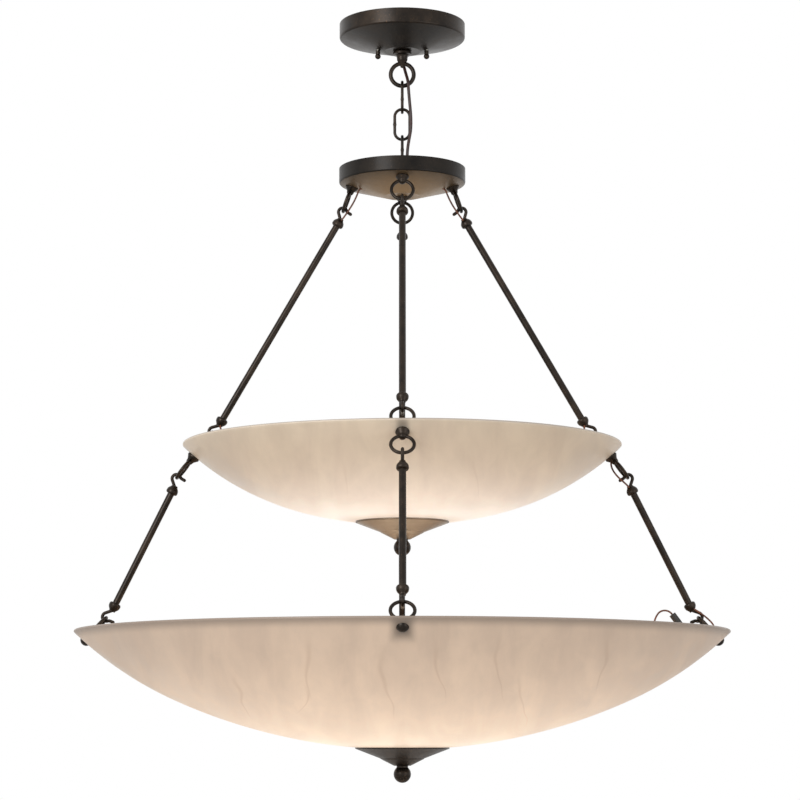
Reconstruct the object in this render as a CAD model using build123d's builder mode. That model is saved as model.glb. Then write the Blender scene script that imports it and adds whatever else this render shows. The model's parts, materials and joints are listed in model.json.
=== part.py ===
"""Two-tier bowl pendant light: two shallow bowls hung from a small hub on four arms of rods and rings.

Millimetres. The origin is on the ceiling, at the middle of the outlet box, and +Z points up, so every
piece hangs below zero. -Y is the front. One arm lies on each of +X, +Y, -X and -Y.
"""
from build123d import *
import math
import os

os.makedirs("parts", exist_ok=True)

# Arms of the light, counted round from +X
ARMS = 4
ARM_SIDES = ("right", "back", "left", "front")

# Clearances
fit_gap = 0.15          # round piece in its own socket or hole
link_gap = 0.3          # between two loops that hang in each other
hole_gap = 0.5          # screw, stud or stem through a plate
seat_film = 0.02        # flat piece on a curved or sloping seat

# Ceiling canopy and hub pan, spun from the same blank
pan_radius = 90.0
pan_wall = 1.4
pan_skirt = 21.0        # straight side, from the open edge down
pan_corner = 3.0        # radius where the side turns under
pan_slope = 16.3        # degrees that the underside falls towards the middle
pan_flat_radius = 26.3

# Mounting bar over the outlet box
bar_length = 118.0
bar_width = 22.0
bar_thickness = 3.0
box_hole_spacing = 79.4     # middle of the slots, for boxes drilled at 70 to 89 mm
box_slot_length = 16.0
box_slot_width = 4.8
canopy_screw_spacing = 69.85
canopy_screw_radius = 2.0
canopy_screw_turn = 90.0    # degrees between the bar's two rows of holes
ball_nut_radius = 4.1
ball_nut_neck = 3.2
ball_nut_height = 12.5

# Canopy loop, its hollow stem and the round ring that the chain hangs on
stem_radius = 5.0
stem_bore = 3.4
stem_above_canopy = 14.0
loop_bell_radius = 13.4
loop_bell_lip = 1.4
loop_bell_height = 4.5
loop_cone_radius = 7.6
loop_cone_depth = 13.0
loop_nose_radius = 2.9
loop_height = 24.0
loop_thread_depth = 5.0
loop_eye_drop = 17.3        # canopy underside to the middle of the eye
loop_eye_flare = 14.0       # radius of the eye's rounded edge, along the ring
ring_wire = 6.0
ring_radius = 16.5          # to the middle of the wire
stem_nut_radius = 8.5       # across the corners
stem_nut_height = 4.0

# Chain
chain_wire = 4.2
link_length = 48.5
link_width = 25.6
LINKS = 3

# Supply cord
cord_diameter = 4.4
bend_share = 0.45           # of the shorter run beside each bend

# Lamp leads and their in-line connector
lead_diameter = 2.5
lead_gap = 0.3
lead_in_bore = (-0.3, -0.4)     # outward and sideways of a rod's axis
lead_at_cap = (-3.0, -5.6)      # the same, where it stands clear of a cap
lead_cap_reach = 2.0            # beyond the end of the cap
lead_bore_depth = 7.5          # behind the end of the cap
lead_in_cup = 2.2               # corner of the lead above the base of a cup
connector_radius = 4.75
connector_skirt_radius = 5.6
connector_length = 27.0
connector_skirt = 9.0
connector_low = (391.5, -10.0, -868.0)
connector_lean = (-0.59, 0.06, 0.81)

# Hub
hub_eye_wire = 4.5
hub_eye_radius = 6.8
hub_collar_radius = 7.6
hub_collar_height = 5.5
hub_edge = -212.0           # open edge of the pan
hub_plate_sink = 7.0        # top of the plate below the pan's edge
hub_plate_thickness = 2.5
hub_plate_gap = 0.4         # plate edge to the pan's side
cap_nut_radius = 7.6
cap_nut_height = 5.0
cap_nut_wall = 1.4
cap_nut_round = 2.0
terminal_block_size = (15.0, 12.0, 12.0)
terminal_block_at = (9.5, -13.4)
hub_cup_at = 72.0           # arm cups, measured out from the middle
hub_cup_eye = 6.8           # base of a hub cup to the middle of its ring's wire
hub_cup_height = 11.8
cup_stud_radius = 2.8
cup_stud_length = 8.0
hub_nut_lift = 0.1          # flat nut on the inside of the cone
cup_nut_radius = 5.6
cup_nut_height = 4.0

# Bell cups that hold the rings
cup_radius = 9.25
cup_rim = 1.4
cup_nose_radius = 5.0
cup_nose_share = 0.8         # rounded end of a cup, of its nose radius
cup_waist_share = 0.72
cup_height = 13.0
cup_eye = 7.9               # base of a bowl cup to the middle of its ring's wire

# Arm rings, hooks and rods
arm_ring_wire = 4.6
arm_ring_radius = 15.15
hub_ring_lean = 20.0        # degrees from plumb, top towards the middle
inner_ring_lean = 36.0
outer_ring_lean = 37.7
lower_ring_lean = 41.6
rod_radius = 4.75
rod_bore = 3.2
rod_in_cap = 6.5
cap_length = 13.0
cap_radius = 8.3
cap_rim = 3.5
cap_round = 2.7
cap_neck = 4.2
hook_wire = 4.6
hook_radius = 6.0           # to the middle of the wire
hook_reach = 9.8            # end of the cap to the middle of the hook's bend
hook_offset = 2.9           # middle of the bend, outward of the rod's axis
hook_start = 135.0          # degrees round the bend where the shank meets it
hook_end = -45.0            # degrees round the bend where the tip leaves it
tip_bend = 4.0
tip_turn = 40.0
tip_length = 4.6
seat_slack = 0.3            # ring wire to the inside of a hook or an eye

# Bowls: a wide arc at the bottom and a tighter one up to the rim
glass_wall = 3.5
upper_rim_radius = 310.8
upper_rim_height = -607.6
upper_big_arc = 570.0
upper_rim_arc = 389.0
upper_arc_change = 13.8     # degrees from straight down where the arcs meet
upper_hole_drop = 24.4      # along the glass, rim to the middle of an arm hole
lower_rim_radius = 457.2
lower_rim_height = -869.3
lower_big_arc = 770.0
lower_rim_arc = 500.0
lower_arc_change = 24.2
lower_hole_drop = 20.7
bowl_stud_radius = 3.5
bowl_stud_grip = 4.5        # stud inside the outer cup
bolt_grip = 4.0             # bolt inside a lower cup
bolt_shank_radius = 3.0
gasket_radius = 8.6
gasket_thickness = 1.0
square_plate_side = 28.0
square_plate_thickness = 2.0
square_plate_corner = 3.0
dome_radius = 8.0
dome_height = 5.6

# Check plates and ball finials under the bowls
check_radius = 65.5
check_wall = 1.2
check_step_radius = 30.5
check_step_height = 15.0
check_step_in = 0.9
check_end_radius = 11.5
check_height = 25.0
check_band = 1.5
finial_radius = 12.0
finial_neck_radius = 8.0
finial_neck_height = 2.0
finial_sink = 9.4           # neck to the middle of the ball
finial_thread_depth = 11.0

# Lampholder cluster inside each bowl
UPPER_LAMPS = 4
LOWER_LAMPS = 6
seat_washer_radius = 20.0
seat_washer_thickness = 2.4
seat_washer_lift = 0.45     # washer over the middle of the curved glass
cluster_neck_radius = 9.0
cluster_base = 26.0         # bottom of the cluster body over the glass
cluster_height = 40.0
upper_cluster_across = 46.0     # across the flats that the sockets sit on
lower_cluster_across = 62.0
upper_first_lamp = 45.0         # degrees round from +X
lower_first_lamp = 30.0
cluster_hole_radius = 6.0
socket_stud_radius = 5.0
socket_stud_length = 7.0
cluster_wall = 3.0
stem_above_cluster = 9.0
socket_radius = 16.5
socket_length = 30.0
socket_floor = 6.0
bulb_base_radius = 13.0
bulb_globe_radius = 24.0
bulb_globe_at = 41.0        # mouth of the socket to the middle of the globe
bulb_foot = 4.0
bulb_shoulder = (15.0, 11.0)


def save(piece, label):
    """Name a finished piece and write it out."""
    piece.part.label = label
    export_step(piece.part, f"parts/{label}.step")


def step_along(point, lean, distance):
    """Move a (radius, height) point along a direction that leans outward from straight up."""
    angle = math.radians(lean)
    return point[0] + distance * math.sin(angle), point[1] + distance * math.cos(angle)


def arm_plane(point, lean, azimuth=0.0):
    """Plane at a (radius, height) point of one arm, facing a direction that leans outward from up."""
    turn = math.radians(azimuth)
    angle = math.radians(lean)
    out = Vector(math.cos(turn), math.sin(turn), 0)
    up = Vector(0, 0, 1)
    origin = out * point[0] + up * point[1]
    return Plane(
        origin=origin,
        x_dir=out * math.cos(angle) - up * math.sin(angle),
        z_dir=out * math.sin(angle) + up * math.cos(angle),
    )


def four_of(one, label):
    """The same piece on each arm, as one group of separate solids."""
    with BuildPart() as group:
        with PolarLocations(0, ARMS):
            add(one)
    save(group, label)


def gap_at(length, radius):
    """How far a flat disc of this half width stands off the bottom of a round hollow."""
    return radius - math.sqrt(radius ** 2 - length ** 2) + seat_film


# Pans: the ceiling canopy and the hub share one outline
pan_rise = math.tan(math.radians(pan_slope))
pan_depth = pan_skirt + (pan_radius - pan_flat_radius) * pan_rise


def pan_shell(edge_height):
    """Open-topped pan with a straight side, a shallow cone underneath and a flat middle."""
    turn_under = edge_height - pan_skirt
    flat = edge_height - pan_depth
    with BuildPart() as shell:
        with BuildSketch(Plane.XZ):
            with BuildLine():
                Polyline((0, edge_height), (pan_radius, edge_height), (pan_radius, turn_under))
                Polyline((pan_radius, turn_under), (pan_flat_radius, flat), (0, flat), (0, edge_height))
            make_face()
            fillet(vertices().sort_by_distance((pan_radius, turn_under))[0], pan_corner)
        revolve(axis=Axis.Z)
        offset(amount=-pan_wall, openings=faces().sort_by(Axis.Z)[-1])
    return shell.part


def pan_surface(edge_height, radius):
    """Height of a pan's underside at this radius, on the cone."""
    return edge_height - pan_skirt - (pan_radius - radius) * pan_rise


def cord_radii(points):
    """Bend radii for a cord through these points: each bend takes its share of the shorter run."""
    knots = [Vector(*point) for point in points]
    runs = [after - before for before, after in zip(knots, knots[1:])]
    radii = []
    for first, second in zip(runs, runs[1:]):
        half_turn = math.radians(first.get_angle(second) / 2)
        radii.append(bend_share * min(first.length, second.length) / math.tan(half_turn))
    return radii


def cord_tube(points, diameter):
    """Round cord: straight runs between the points, joined by bends."""
    radii = cord_radii(points)
    with BuildPart() as tube:
        with BuildLine() as route:
            FilletPolyline(*points, radius=radii)
        with BuildSketch(Plane(route.line @ 0, z_dir=route.line % 0)):
            Circle(diameter / 2)
        sweep()
    length = sum(edge.length for edge in route.edges())
    section = math.pi * diameter ** 2 / 4
    print("cord", diameter, "length", round(length, 1), "least radius", round(min(radii), 1),
          "volume", round(tube.part.volume), "section by length", round(section * length))
    return tube.part


# Heights down the suspension, from the ceiling to the hub
canopy_under = -pan_depth
canopy_floor = canopy_under + pan_wall
eye_height = canopy_under - loop_eye_drop
ring_middle = eye_height - ring_radius
ring_seat = ring_middle - ring_radius + ring_wire / 2
link_reach = link_length - chain_wire
link_tops = [ring_seat + link_gap + chain_wire / 2]
for step in range(1, LINKS):
    link_tops.append(link_tops[-1] - link_reach + chain_wire + link_gap)
hub_eye_top = link_tops[-1] - link_reach + chain_wire / 2 + link_gap + hub_eye_wire / 2
hub_plate_top = hub_edge - hub_plate_sink
hub_plate_under = hub_plate_top - hub_plate_thickness
hub_flat = hub_edge - pan_depth
hub_floor = hub_flat + pan_wall
print("swing axes at", round(eye_height, 2), [round(top, 2) for top in link_tops], round(hub_eye_top, 2))
print("hub: plate top", hub_plate_top, "floor", round(hub_floor, 2), "flat", round(hub_flat, 2))

# Cord routes
supply_route = [
    (0, 0, -20),
    (0, 0, -43),
    (1.5, 9, -55),
    (5, 5, -70),
    (8, -4, -82),
    (8.5, -6, -90),
    (10.5, -6, -115),
    (12.5, -5.5, -135),
    (12.5, -5.5, -155),
    (10, -6, -168),
    (7.5, -7, -184),
    (7, -7.4, -198),
    (7, -7.4, -227),
    (9, -13, -242),
]
supply_wireway = cord_tube(supply_route, cord_diameter + 2 * fit_gap)

# Ceiling end
blank = pan_shell(0)
with BuildPart() as canopy:
    add(blank)
    with Locations((0, 0, canopy_floor)):
        Hole(stem_radius + hole_gap)
    with GridLocations(canopy_screw_spacing, 0, 2, 1):
        Hole(canopy_screw_radius + hole_gap)
save(canopy, "canopy")

with BuildPart() as crossbar:
    with BuildSketch(Plane.XY.offset(-bar_thickness)):
        RectangleRounded(bar_width, bar_length, bar_width / 4)
        RectangleRounded(bar_length - bar_width, bar_width, bar_width / 4)
        with Locations((0, box_hole_spacing / 2), (0, -box_hole_spacing / 2)):
            SlotOverall(box_slot_length, box_slot_width, rotation=canopy_screw_turn, mode=Mode.SUBTRACT)
        with GridLocations(canopy_screw_spacing, 0, 2, 1):
            Circle(canopy_screw_radius + fit_gap, mode=Mode.SUBTRACT)
        Circle(stem_radius + hole_gap, mode=Mode.SUBTRACT)
    extrude(amount=bar_thickness)
save(crossbar, "crossbar")

nut_seat = pan_surface(0, canopy_screw_spacing / 2 - ball_nut_neck) - seat_film
ball_middle = nut_seat - ball_nut_height + ball_nut_radius
with BuildPart() as canopy_screws:
    with GridLocations(canopy_screw_spacing, 0, 2, 1):
        with Locations((0, 0, ball_middle)):
            Cylinder(canopy_screw_radius, -ball_middle, align=(Align.CENTER, Align.CENTER, Align.MIN))
save(canopy_screws, "canopy_screws")

with BuildPart() as one_ball_nut:
    with Locations((0, 0, ball_middle)):
        Sphere(ball_nut_radius)
    with Locations((0, 0, nut_seat)):
        Cylinder(ball_nut_neck, nut_seat - ball_middle, align=(Align.CENTER, Align.CENTER, Align.MAX))
    with Locations((0, 0, nut_seat)):
        CounterBoreHole(
            radius=canopy_screw_radius + seat_film,
            counter_bore_radius=canopy_screw_radius + fit_gap,
            counter_bore_depth=ball_nut_neck,
            depth=nut_seat - ball_middle,
        )
ball_nut = one_ball_nut.part
with BuildPart() as canopy_ball_nuts:
    with GridLocations(canopy_screw_spacing, 0, 2, 1):
        add(ball_nut)
save(canopy_ball_nuts, "canopy_ball_nuts")

stem_length = canopy_floor + stem_above_canopy - canopy_under + loop_thread_depth
with BuildPart() as canopy_stem:
    with Locations((0, 0, canopy_floor + stem_above_canopy)):
        Cylinder(stem_radius, stem_length, align=(Align.CENTER, Align.CENTER, Align.MAX))
        Hole(stem_bore)
    add(supply_wireway, mode=Mode.SUBTRACT)
save(canopy_stem, "canopy_stem")

with BuildPart() as canopy_locknut:
    with BuildSketch(Plane.XY.offset(canopy_floor)):
        RegularPolygon(stem_nut_radius, 6)
        Circle(stem_radius + seat_film, mode=Mode.SUBTRACT)
    extrude(amount=stem_nut_height)
save(canopy_locknut, "canopy_locknut")

# Profile of the loop, as (radius, depth below the canopy)
loop_bell_top = canopy_under
loop_bell_edge = loop_bell_top - loop_bell_height
loop_cone_top = loop_bell_top - loop_cone_depth
loop_nose_top = loop_bell_top - loop_height + loop_nose_radius
with BuildPart() as canopy_loop:
    with BuildSketch(Plane.XZ):
        with BuildLine():
            Polyline((0, loop_bell_top), (loop_bell_radius - loop_bell_lip, loop_bell_top))
            Line((loop_bell_radius - loop_bell_lip, loop_bell_top), (loop_bell_radius, loop_bell_top - loop_bell_lip))
            Line((loop_bell_radius, loop_bell_top - loop_bell_lip), (loop_bell_radius, loop_bell_edge))
            Bezier(
                (loop_bell_radius, loop_bell_edge),
                (loop_cone_radius + loop_bell_lip, loop_bell_edge),
                (loop_cone_radius, loop_bell_edge - loop_bell_lip),
                (loop_cone_radius, loop_cone_top),
            )
            Line((loop_cone_radius, loop_cone_top), (loop_nose_radius, loop_nose_top))
            ThreePointArc(
                (loop_nose_radius, loop_nose_top),
                (loop_nose_radius * math.sqrt(0.5), loop_nose_top - loop_nose_radius * math.sqrt(0.5)),
                (0, loop_nose_top - loop_nose_radius),
            )
            Line((0, loop_nose_top - loop_nose_radius), (0, loop_bell_top))
        make_face()
    revolve(axis=Axis.Z)
    with Locations((0, 0, loop_bell_top)):
        Hole(stem_radius + seat_film, depth=loop_thread_depth)
        Hole(stem_bore, depth=loop_thread_depth + cord_diameter / 2)
    add(supply_wireway, mode=Mode.SUBTRACT)
    # The eye: a waisted hole along X, so that the curved ring can swing in it
    eye_waist = ring_wire / 2 + link_gap
    eye_half = loop_cone_radius
    with BuildSketch(Plane.XZ) as eye_profile:
        with BuildLine():
            Polyline((-eye_half, eye_height), (eye_half, eye_height))
            flare_edge = eye_waist + loop_eye_flare - math.sqrt(loop_eye_flare ** 2 - eye_half ** 2)
            Line((eye_half, eye_height), (eye_half, eye_height + flare_edge))
            ThreePointArc(
                (eye_half, eye_height + flare_edge),
                (0, eye_height + eye_waist),
                (-eye_half, eye_height + flare_edge),
            )
            Line((-eye_half, eye_height + flare_edge), (-eye_half, eye_height))
        make_face()
    revolve(axis=Axis((0, 0, eye_height), (1, 0, 0)), mode=Mode.SUBTRACT)
save(canopy_loop, "canopy_loop")

# Ring and chain
with BuildPart(Plane.XZ) as canopy_ring:
    with Locations((0, ring_middle, 0)):
        Torus(ring_radius, ring_wire / 2)
save(canopy_ring, "canopy_ring")


def chain_link(top, plane):
    """Oval link with the middle of its top wire at this height."""
    with BuildPart() as link:
        with BuildLine(plane):
            half = link_width / 2 - chain_wire / 2
            upper = top - half
            lower = top - link_reach + half
            Line((half, lower), (half, upper))
            ThreePointArc((half, upper), (0, top), (-half, upper))
            Line((-half, upper), (-half, lower))
            ThreePointArc((-half, lower), (0, top - link_reach), (half, lower))
        with BuildSketch(Plane(plane.from_local_coords((half, lower, 0)), z_dir=(0, 0, 1))):
            Circle(chain_wire / 2)
        sweep()
    return link


for number, top in enumerate(link_tops, start=1):
    link_plane = Plane.YZ if number % 2 else Plane.XZ
    save(chain_link(top, link_plane), f"chain_link_{number}")

supply_cord = cord_tube(supply_route, cord_diameter)
supply_cord.label = "supply_cord"
export_step(supply_cord, "parts/supply_cord.step")

# Hub
hub_eye_middle = hub_eye_top - hub_eye_radius
hub_stem_end = hub_flat - cap_nut_height + cap_nut_wall
with BuildPart() as hub_loop:
    with Locations(Plane((0, 0, hub_eye_middle), z_dir=(0, 1, 0))):
        Torus(hub_eye_radius, hub_eye_wire / 2)
    with Locations((0, 0, hub_plate_top)):
        Cylinder(hub_collar_radius, cup_rim, align=(Align.CENTER, Align.CENTER, Align.MIN))
    with Locations((0, 0, hub_plate_top + cup_rim)):
        Cone(
            hub_collar_radius,
            stem_radius,
            hub_collar_height - cup_rim,
            align=(Align.CENTER, Align.CENTER, Align.MIN),
        )
    with Locations((0, 0, hub_plate_top)):
        Cylinder(stem_radius, hub_plate_top - hub_stem_end, align=(Align.CENTER, Align.CENTER, Align.MAX))
save(hub_loop, "hub_loop")

with BuildPart() as hub_plate:
    with BuildSketch(Plane.XY.offset(hub_plate_under)):
        Circle(pan_radius - pan_wall - hub_plate_gap)
        Circle(stem_radius + fit_gap, mode=Mode.SUBTRACT)
        with Locations(supply_route[-2][:2]):
            Circle(cord_diameter / 2 + hole_gap, mode=Mode.SUBTRACT)
    extrude(amount=hub_plate_thickness)
save(hub_plate, "hub_plate")

# One flat of this nut faces the supply cord
with BuildPart() as hub_nut:
    with BuildSketch(Plane.XY.offset(hub_plate_under - stem_nut_height)):
        cord_side = math.degrees(math.atan2(supply_route[-2][1], supply_route[-2][0]))
        RegularPolygon(stem_nut_radius, 6, rotation=cord_side + 30)
        Circle(stem_radius + seat_film, mode=Mode.SUBTRACT)
    extrude(amount=stem_nut_height)
hub_nut_part = hub_nut.part

with BuildPart() as hub_cap_nut:
    with Locations((0, 0, hub_flat)):
        Cylinder(cap_nut_radius, cap_nut_height, align=(Align.CENTER, Align.CENTER, Align.MAX))
    fillet(edges().group_by(Axis.Z)[0], cap_nut_round)
    with Locations((0, 0, hub_flat)):
        Hole(stem_radius + seat_film, depth=hub_flat - hub_stem_end)
save(hub_cap_nut, "hub_cap_nut")

# Where the arms' wires meet, as (radius, height) points of one arm
hub_cup_seat = (hub_cup_at, pan_surface(hub_edge, hub_cup_at))
hub_cup_lean = 180 - pan_slope
hub_eye = step_along(hub_cup_seat, hub_cup_lean, hub_cup_eye)
hub_ring_at = step_along(hub_eye, 180 - hub_ring_lean, arm_ring_radius)
upper_rod_top = step_along(hub_eye, 180 - hub_ring_lean, 2 * arm_ring_radius)


def bowl_arcs(rim_radius, rim_height, big_arc, rim_arc, change):
    """Middle of each arc of a bowl, as (radius, height), and the angle of its rim from straight down."""
    turn = math.radians(change)
    shift = big_arc - rim_arc
    rim_turn = math.asin((rim_radius - shift * math.sin(turn)) / rim_arc)
    rim_middle = (shift * math.sin(turn), rim_height + rim_arc * math.cos(rim_turn))
    big_middle = (0, rim_middle[1] + shift * math.cos(turn))
    return big_middle, rim_middle, math.degrees(rim_turn)


def glass_point(middle, radius, angle):
    """Point of an arc at this angle from straight down."""
    turn = math.radians(angle)
    return middle[0] + radius * math.sin(turn), middle[1] - radius * math.cos(turn)


upper_big_middle, upper_rim_middle, upper_rim_angle = bowl_arcs(
    upper_rim_radius, upper_rim_height, upper_big_arc, upper_rim_arc, upper_arc_change
)
lower_big_middle, lower_rim_middle, lower_rim_angle = bowl_arcs(
    lower_rim_radius, lower_rim_height, lower_big_arc, lower_rim_arc, lower_arc_change
)
upper_hole_angle = upper_rim_angle - math.degrees(upper_hole_drop / upper_rim_arc)
lower_hole_angle = lower_rim_angle - math.degrees(lower_hole_drop / lower_rim_arc)
upper_hole = glass_point(upper_rim_middle, upper_rim_arc, upper_hole_angle)
lower_hole = glass_point(lower_rim_middle, lower_rim_arc, lower_hole_angle)
upper_bottom = upper_big_middle[1] - upper_big_arc
lower_bottom = lower_big_middle[1] - lower_big_arc

upper_outer_lean = 180 - upper_hole_angle
upper_inner_lean = -upper_hole_angle
lower_inner_lean = -lower_hole_angle
upper_outer_seat = step_along(upper_hole, upper_outer_lean, gasket_thickness)
upper_glass_lift = glass_wall + gap_at(gasket_radius, upper_rim_arc - glass_wall)
upper_inner_seat = step_along(upper_hole, upper_inner_lean, upper_glass_lift + gasket_thickness)
square_half = square_plate_side / math.sqrt(2) - square_plate_corner * (math.sqrt(2) - 1)
lower_plate_lift = glass_wall + gap_at(square_half, lower_rim_arc - glass_wall)
lower_inner_seat = step_along(lower_hole, lower_inner_lean, lower_plate_lift + square_plate_thickness)

upper_outer_eye = step_along(upper_outer_seat, upper_outer_lean, cup_eye)
upper_inner_eye = step_along(upper_inner_seat, upper_inner_lean, cup_eye)
lower_inner_eye = step_along(lower_inner_seat, lower_inner_lean, cup_eye)
inner_ring_at = step_along(upper_inner_eye, -inner_ring_lean, arm_ring_radius)
upper_rod_bottom = step_along(upper_inner_eye, -inner_ring_lean, 2 * arm_ring_radius)
outer_ring_at = step_along(upper_outer_eye, 180 - outer_ring_lean, arm_ring_radius)
lower_rod_top = step_along(upper_outer_eye, 180 - outer_ring_lean, 2 * arm_ring_radius)
lower_ring_at = step_along(lower_inner_eye, -lower_ring_lean, arm_ring_radius)
lower_rod_bottom = step_along(lower_inner_eye, -lower_ring_lean, 2 * arm_ring_radius)
print("eyes", hub_eye, upper_inner_eye, upper_outer_eye, lower_inner_eye)
print("hooks", upper_rod_top, upper_rod_bottom, lower_rod_top, lower_rod_bottom)


def ring_part(at, lean, wire):
    """Round ring on the right-hand arm, square to the arm's upright plane."""
    with BuildPart() as ring:
        with Locations(arm_plane(at, 90 - lean)):
            Torus(arm_ring_radius, wire / 2)
    return ring.part


def cup_body(radius, height):
    """Bell cup, base on the XY plane."""
    nose_low = height - cup_nose_radius * cup_nose_share
    with BuildPart() as cup:
        with BuildSketch(Plane.XZ):
            with BuildLine():
                Polyline((0, 0), (radius, 0), (radius, cup_rim))
                Bezier(
                    (radius, cup_rim),
                    (radius * cup_waist_share, cup_rim + height * (1 - cup_waist_share)),
                    (cup_nose_radius, height / 2),
                    (cup_nose_radius, nose_low),
                )
                ThreePointArc(
                    (cup_nose_radius, nose_low),
                    (cup_nose_radius * cup_waist_share, height - (height - nose_low) * (1 - cup_waist_share)),
                    (0, height),
                )
                Line((0, height), (0, 0))
            make_face()
        revolve(axis=Axis.Z)
    return cup.part


hub_wire_ring = ring_part(hub_ring_at, hub_ring_lean, arm_ring_wire)
inner_wire_ring = ring_part(inner_ring_at, inner_ring_lean, arm_ring_wire)
outer_wire_ring = ring_part(outer_ring_at, outer_ring_lean, arm_ring_wire)
lower_wire_ring = ring_part(lower_ring_at, lower_ring_lean, arm_ring_wire)
four_of(hub_wire_ring, "hub_rings")
four_of(inner_wire_ring, "upper_inner_rings")
four_of(outer_wire_ring, "upper_outer_rings")
four_of(lower_wire_ring, "lower_rings")
wire_way = arm_ring_wire + 2 * seat_slack

# Hub cups, each with a stud through the pan and a nut inside
hub_cup_plane = arm_plane(hub_cup_seat, hub_cup_lean)
hub_cup_body = cup_body(cup_radius, hub_cup_height)
hub_way = ring_part(hub_ring_at, hub_ring_lean, wire_way)
with BuildPart() as hub_cup:
    with Locations(hub_cup_plane):
        add(hub_cup_body)
        Cylinder(cup_stud_radius, cup_stud_length, align=(Align.CENTER, Align.CENTER, Align.MAX))
    add(hub_way, mode=Mode.SUBTRACT)
with BuildPart() as hub_cup_nut:
    with BuildSketch(hub_cup_plane.offset(-pan_wall - hub_nut_lift)):
        RegularPolygon(cup_nut_radius, 6)
        Circle(cup_stud_radius + seat_film, mode=Mode.SUBTRACT)
    extrude(amount=-cup_nut_height)
hub_cup_part = hub_cup.part
hub_cup_nut_part = hub_cup_nut.part
four_of(hub_cup_part, "hub_cups")
four_of(hub_cup_nut_part, "hub_cup_nuts")

blank = pan_shell(hub_edge)
with BuildPart() as stud_hole:
    with Locations(hub_cup_plane):
        Cylinder(cup_stud_radius + fit_gap, 2 * cup_stud_length)
stud_hole_part = stud_hole.part
with BuildPart() as hub_pan:
    add(blank)
    with Locations((0, 0, hub_floor)):
        Hole(stem_radius + hole_gap)
    with PolarLocations(0, ARMS):
        add(stud_hole_part, mode=Mode.SUBTRACT)

# Cups on the bowls
bowl_cup = cup_body(cup_radius, cup_height)
upper_outer_plane = arm_plane(upper_outer_seat, upper_outer_lean)
upper_inner_plane = arm_plane(upper_inner_seat, upper_inner_lean)
lower_inner_plane = arm_plane(lower_inner_seat, lower_inner_lean)
inner_way = ring_part(inner_ring_at, inner_ring_lean, wire_way)
outer_way = ring_part(outer_ring_at, outer_ring_lean, wire_way)
lower_way = ring_part(lower_ring_at, lower_ring_lean, wire_way)
stud_reach = 2 * gasket_thickness + upper_glass_lift + bowl_stud_grip - seat_film

with BuildPart() as upper_inner_cup:
    with Locations(upper_inner_plane):
        add(bowl_cup)
        Cylinder(bowl_stud_radius, stud_reach, align=(Align.CENTER, Align.CENTER, Align.MAX))
    add(inner_way, mode=Mode.SUBTRACT)
with BuildPart() as upper_outer_cup:
    with Locations(upper_outer_plane):
        add(bowl_cup)
        Cylinder(
            bowl_stud_radius + seat_film,
            bowl_stud_grip,
            align=(Align.CENTER, Align.CENTER, Align.MIN),
            mode=Mode.SUBTRACT,
        )
    add(outer_way, mode=Mode.SUBTRACT)
with BuildPart() as arm_gaskets:
    with BuildSketch(upper_inner_plane.offset(-gasket_thickness)):
        Circle(gasket_radius)
        Circle(bowl_stud_radius + fit_gap, mode=Mode.SUBTRACT)
    extrude(amount=gasket_thickness)
    with BuildSketch(upper_outer_plane.offset(-gasket_thickness)):
        Circle(gasket_radius)
        Circle(bowl_stud_radius + fit_gap, mode=Mode.SUBTRACT)
    extrude(amount=gasket_thickness)
with BuildPart() as lower_inner_cup:
    with Locations(lower_inner_plane):
        add(bowl_cup)
        Cylinder(
            bolt_shank_radius + seat_film,
            bolt_grip,
            align=(Align.CENTER, Align.CENTER, Align.MIN),
            mode=Mode.SUBTRACT,
        )
    add(lower_way, mode=Mode.SUBTRACT)
with BuildPart() as square_plate:
    with BuildSketch(lower_inner_plane.offset(-square_plate_thickness)):
        RectangleRounded(square_plate_side, square_plate_side, square_plate_corner)
        Circle(bolt_shank_radius + fit_gap, mode=Mode.SUBTRACT)
    extrude(amount=square_plate_thickness)
shank_reach = lower_plate_lift + square_plate_thickness + bolt_grip
dome_sphere = (dome_radius ** 2 + dome_height ** 2) / (2 * dome_height)
dome_half_turn = math.asin(dome_radius / dome_sphere) / 2
dome_middle = (
    dome_sphere * math.sin(dome_half_turn),
    dome_height - dome_sphere * (1 - math.cos(dome_half_turn)),
)
with BuildPart() as bolt_blank:
    with BuildSketch(Plane.XZ):
        with BuildLine():
            Line((0, 0), (dome_radius, 0))
            ThreePointArc((dome_radius, 0), dome_middle, (0, dome_height))
            Line((0, dome_height), (0, 0))
        make_face()
    revolve(axis=Axis.Z)
    Cylinder(bolt_shank_radius, shank_reach, align=(Align.CENTER, Align.CENTER, Align.MAX))
bolt_part = bolt_blank.part
with BuildPart() as lower_bolt:
    with Locations(arm_plane(lower_hole, 180 - lower_hole_angle)):
        add(bolt_part)
upper_inner_cup_part = upper_inner_cup.part
upper_outer_cup_part = upper_outer_cup.part
gasket_pair = arm_gaskets.part
lower_inner_cup_part = lower_inner_cup.part
square_plate_part = square_plate.part
lower_bolt_part = lower_bolt.part
four_of(gasket_pair, "upper_gaskets")
four_of(lower_inner_cup_part, "lower_inner_cups")
four_of(square_plate_part, "lower_square_plates")
four_of(lower_bolt_part, "lower_bolts")

# End caps with hooks: Z runs along the rod, away from it, and X is outward from the light
turn_start = math.radians(hook_start)
turn_end = math.radians(hook_end)


def hook_point(turn):
    """Point of the hook's bend, as (outward, along the rod)."""
    return hook_offset + hook_radius * math.sin(turn), hook_reach + hook_radius * math.cos(turn)


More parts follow.
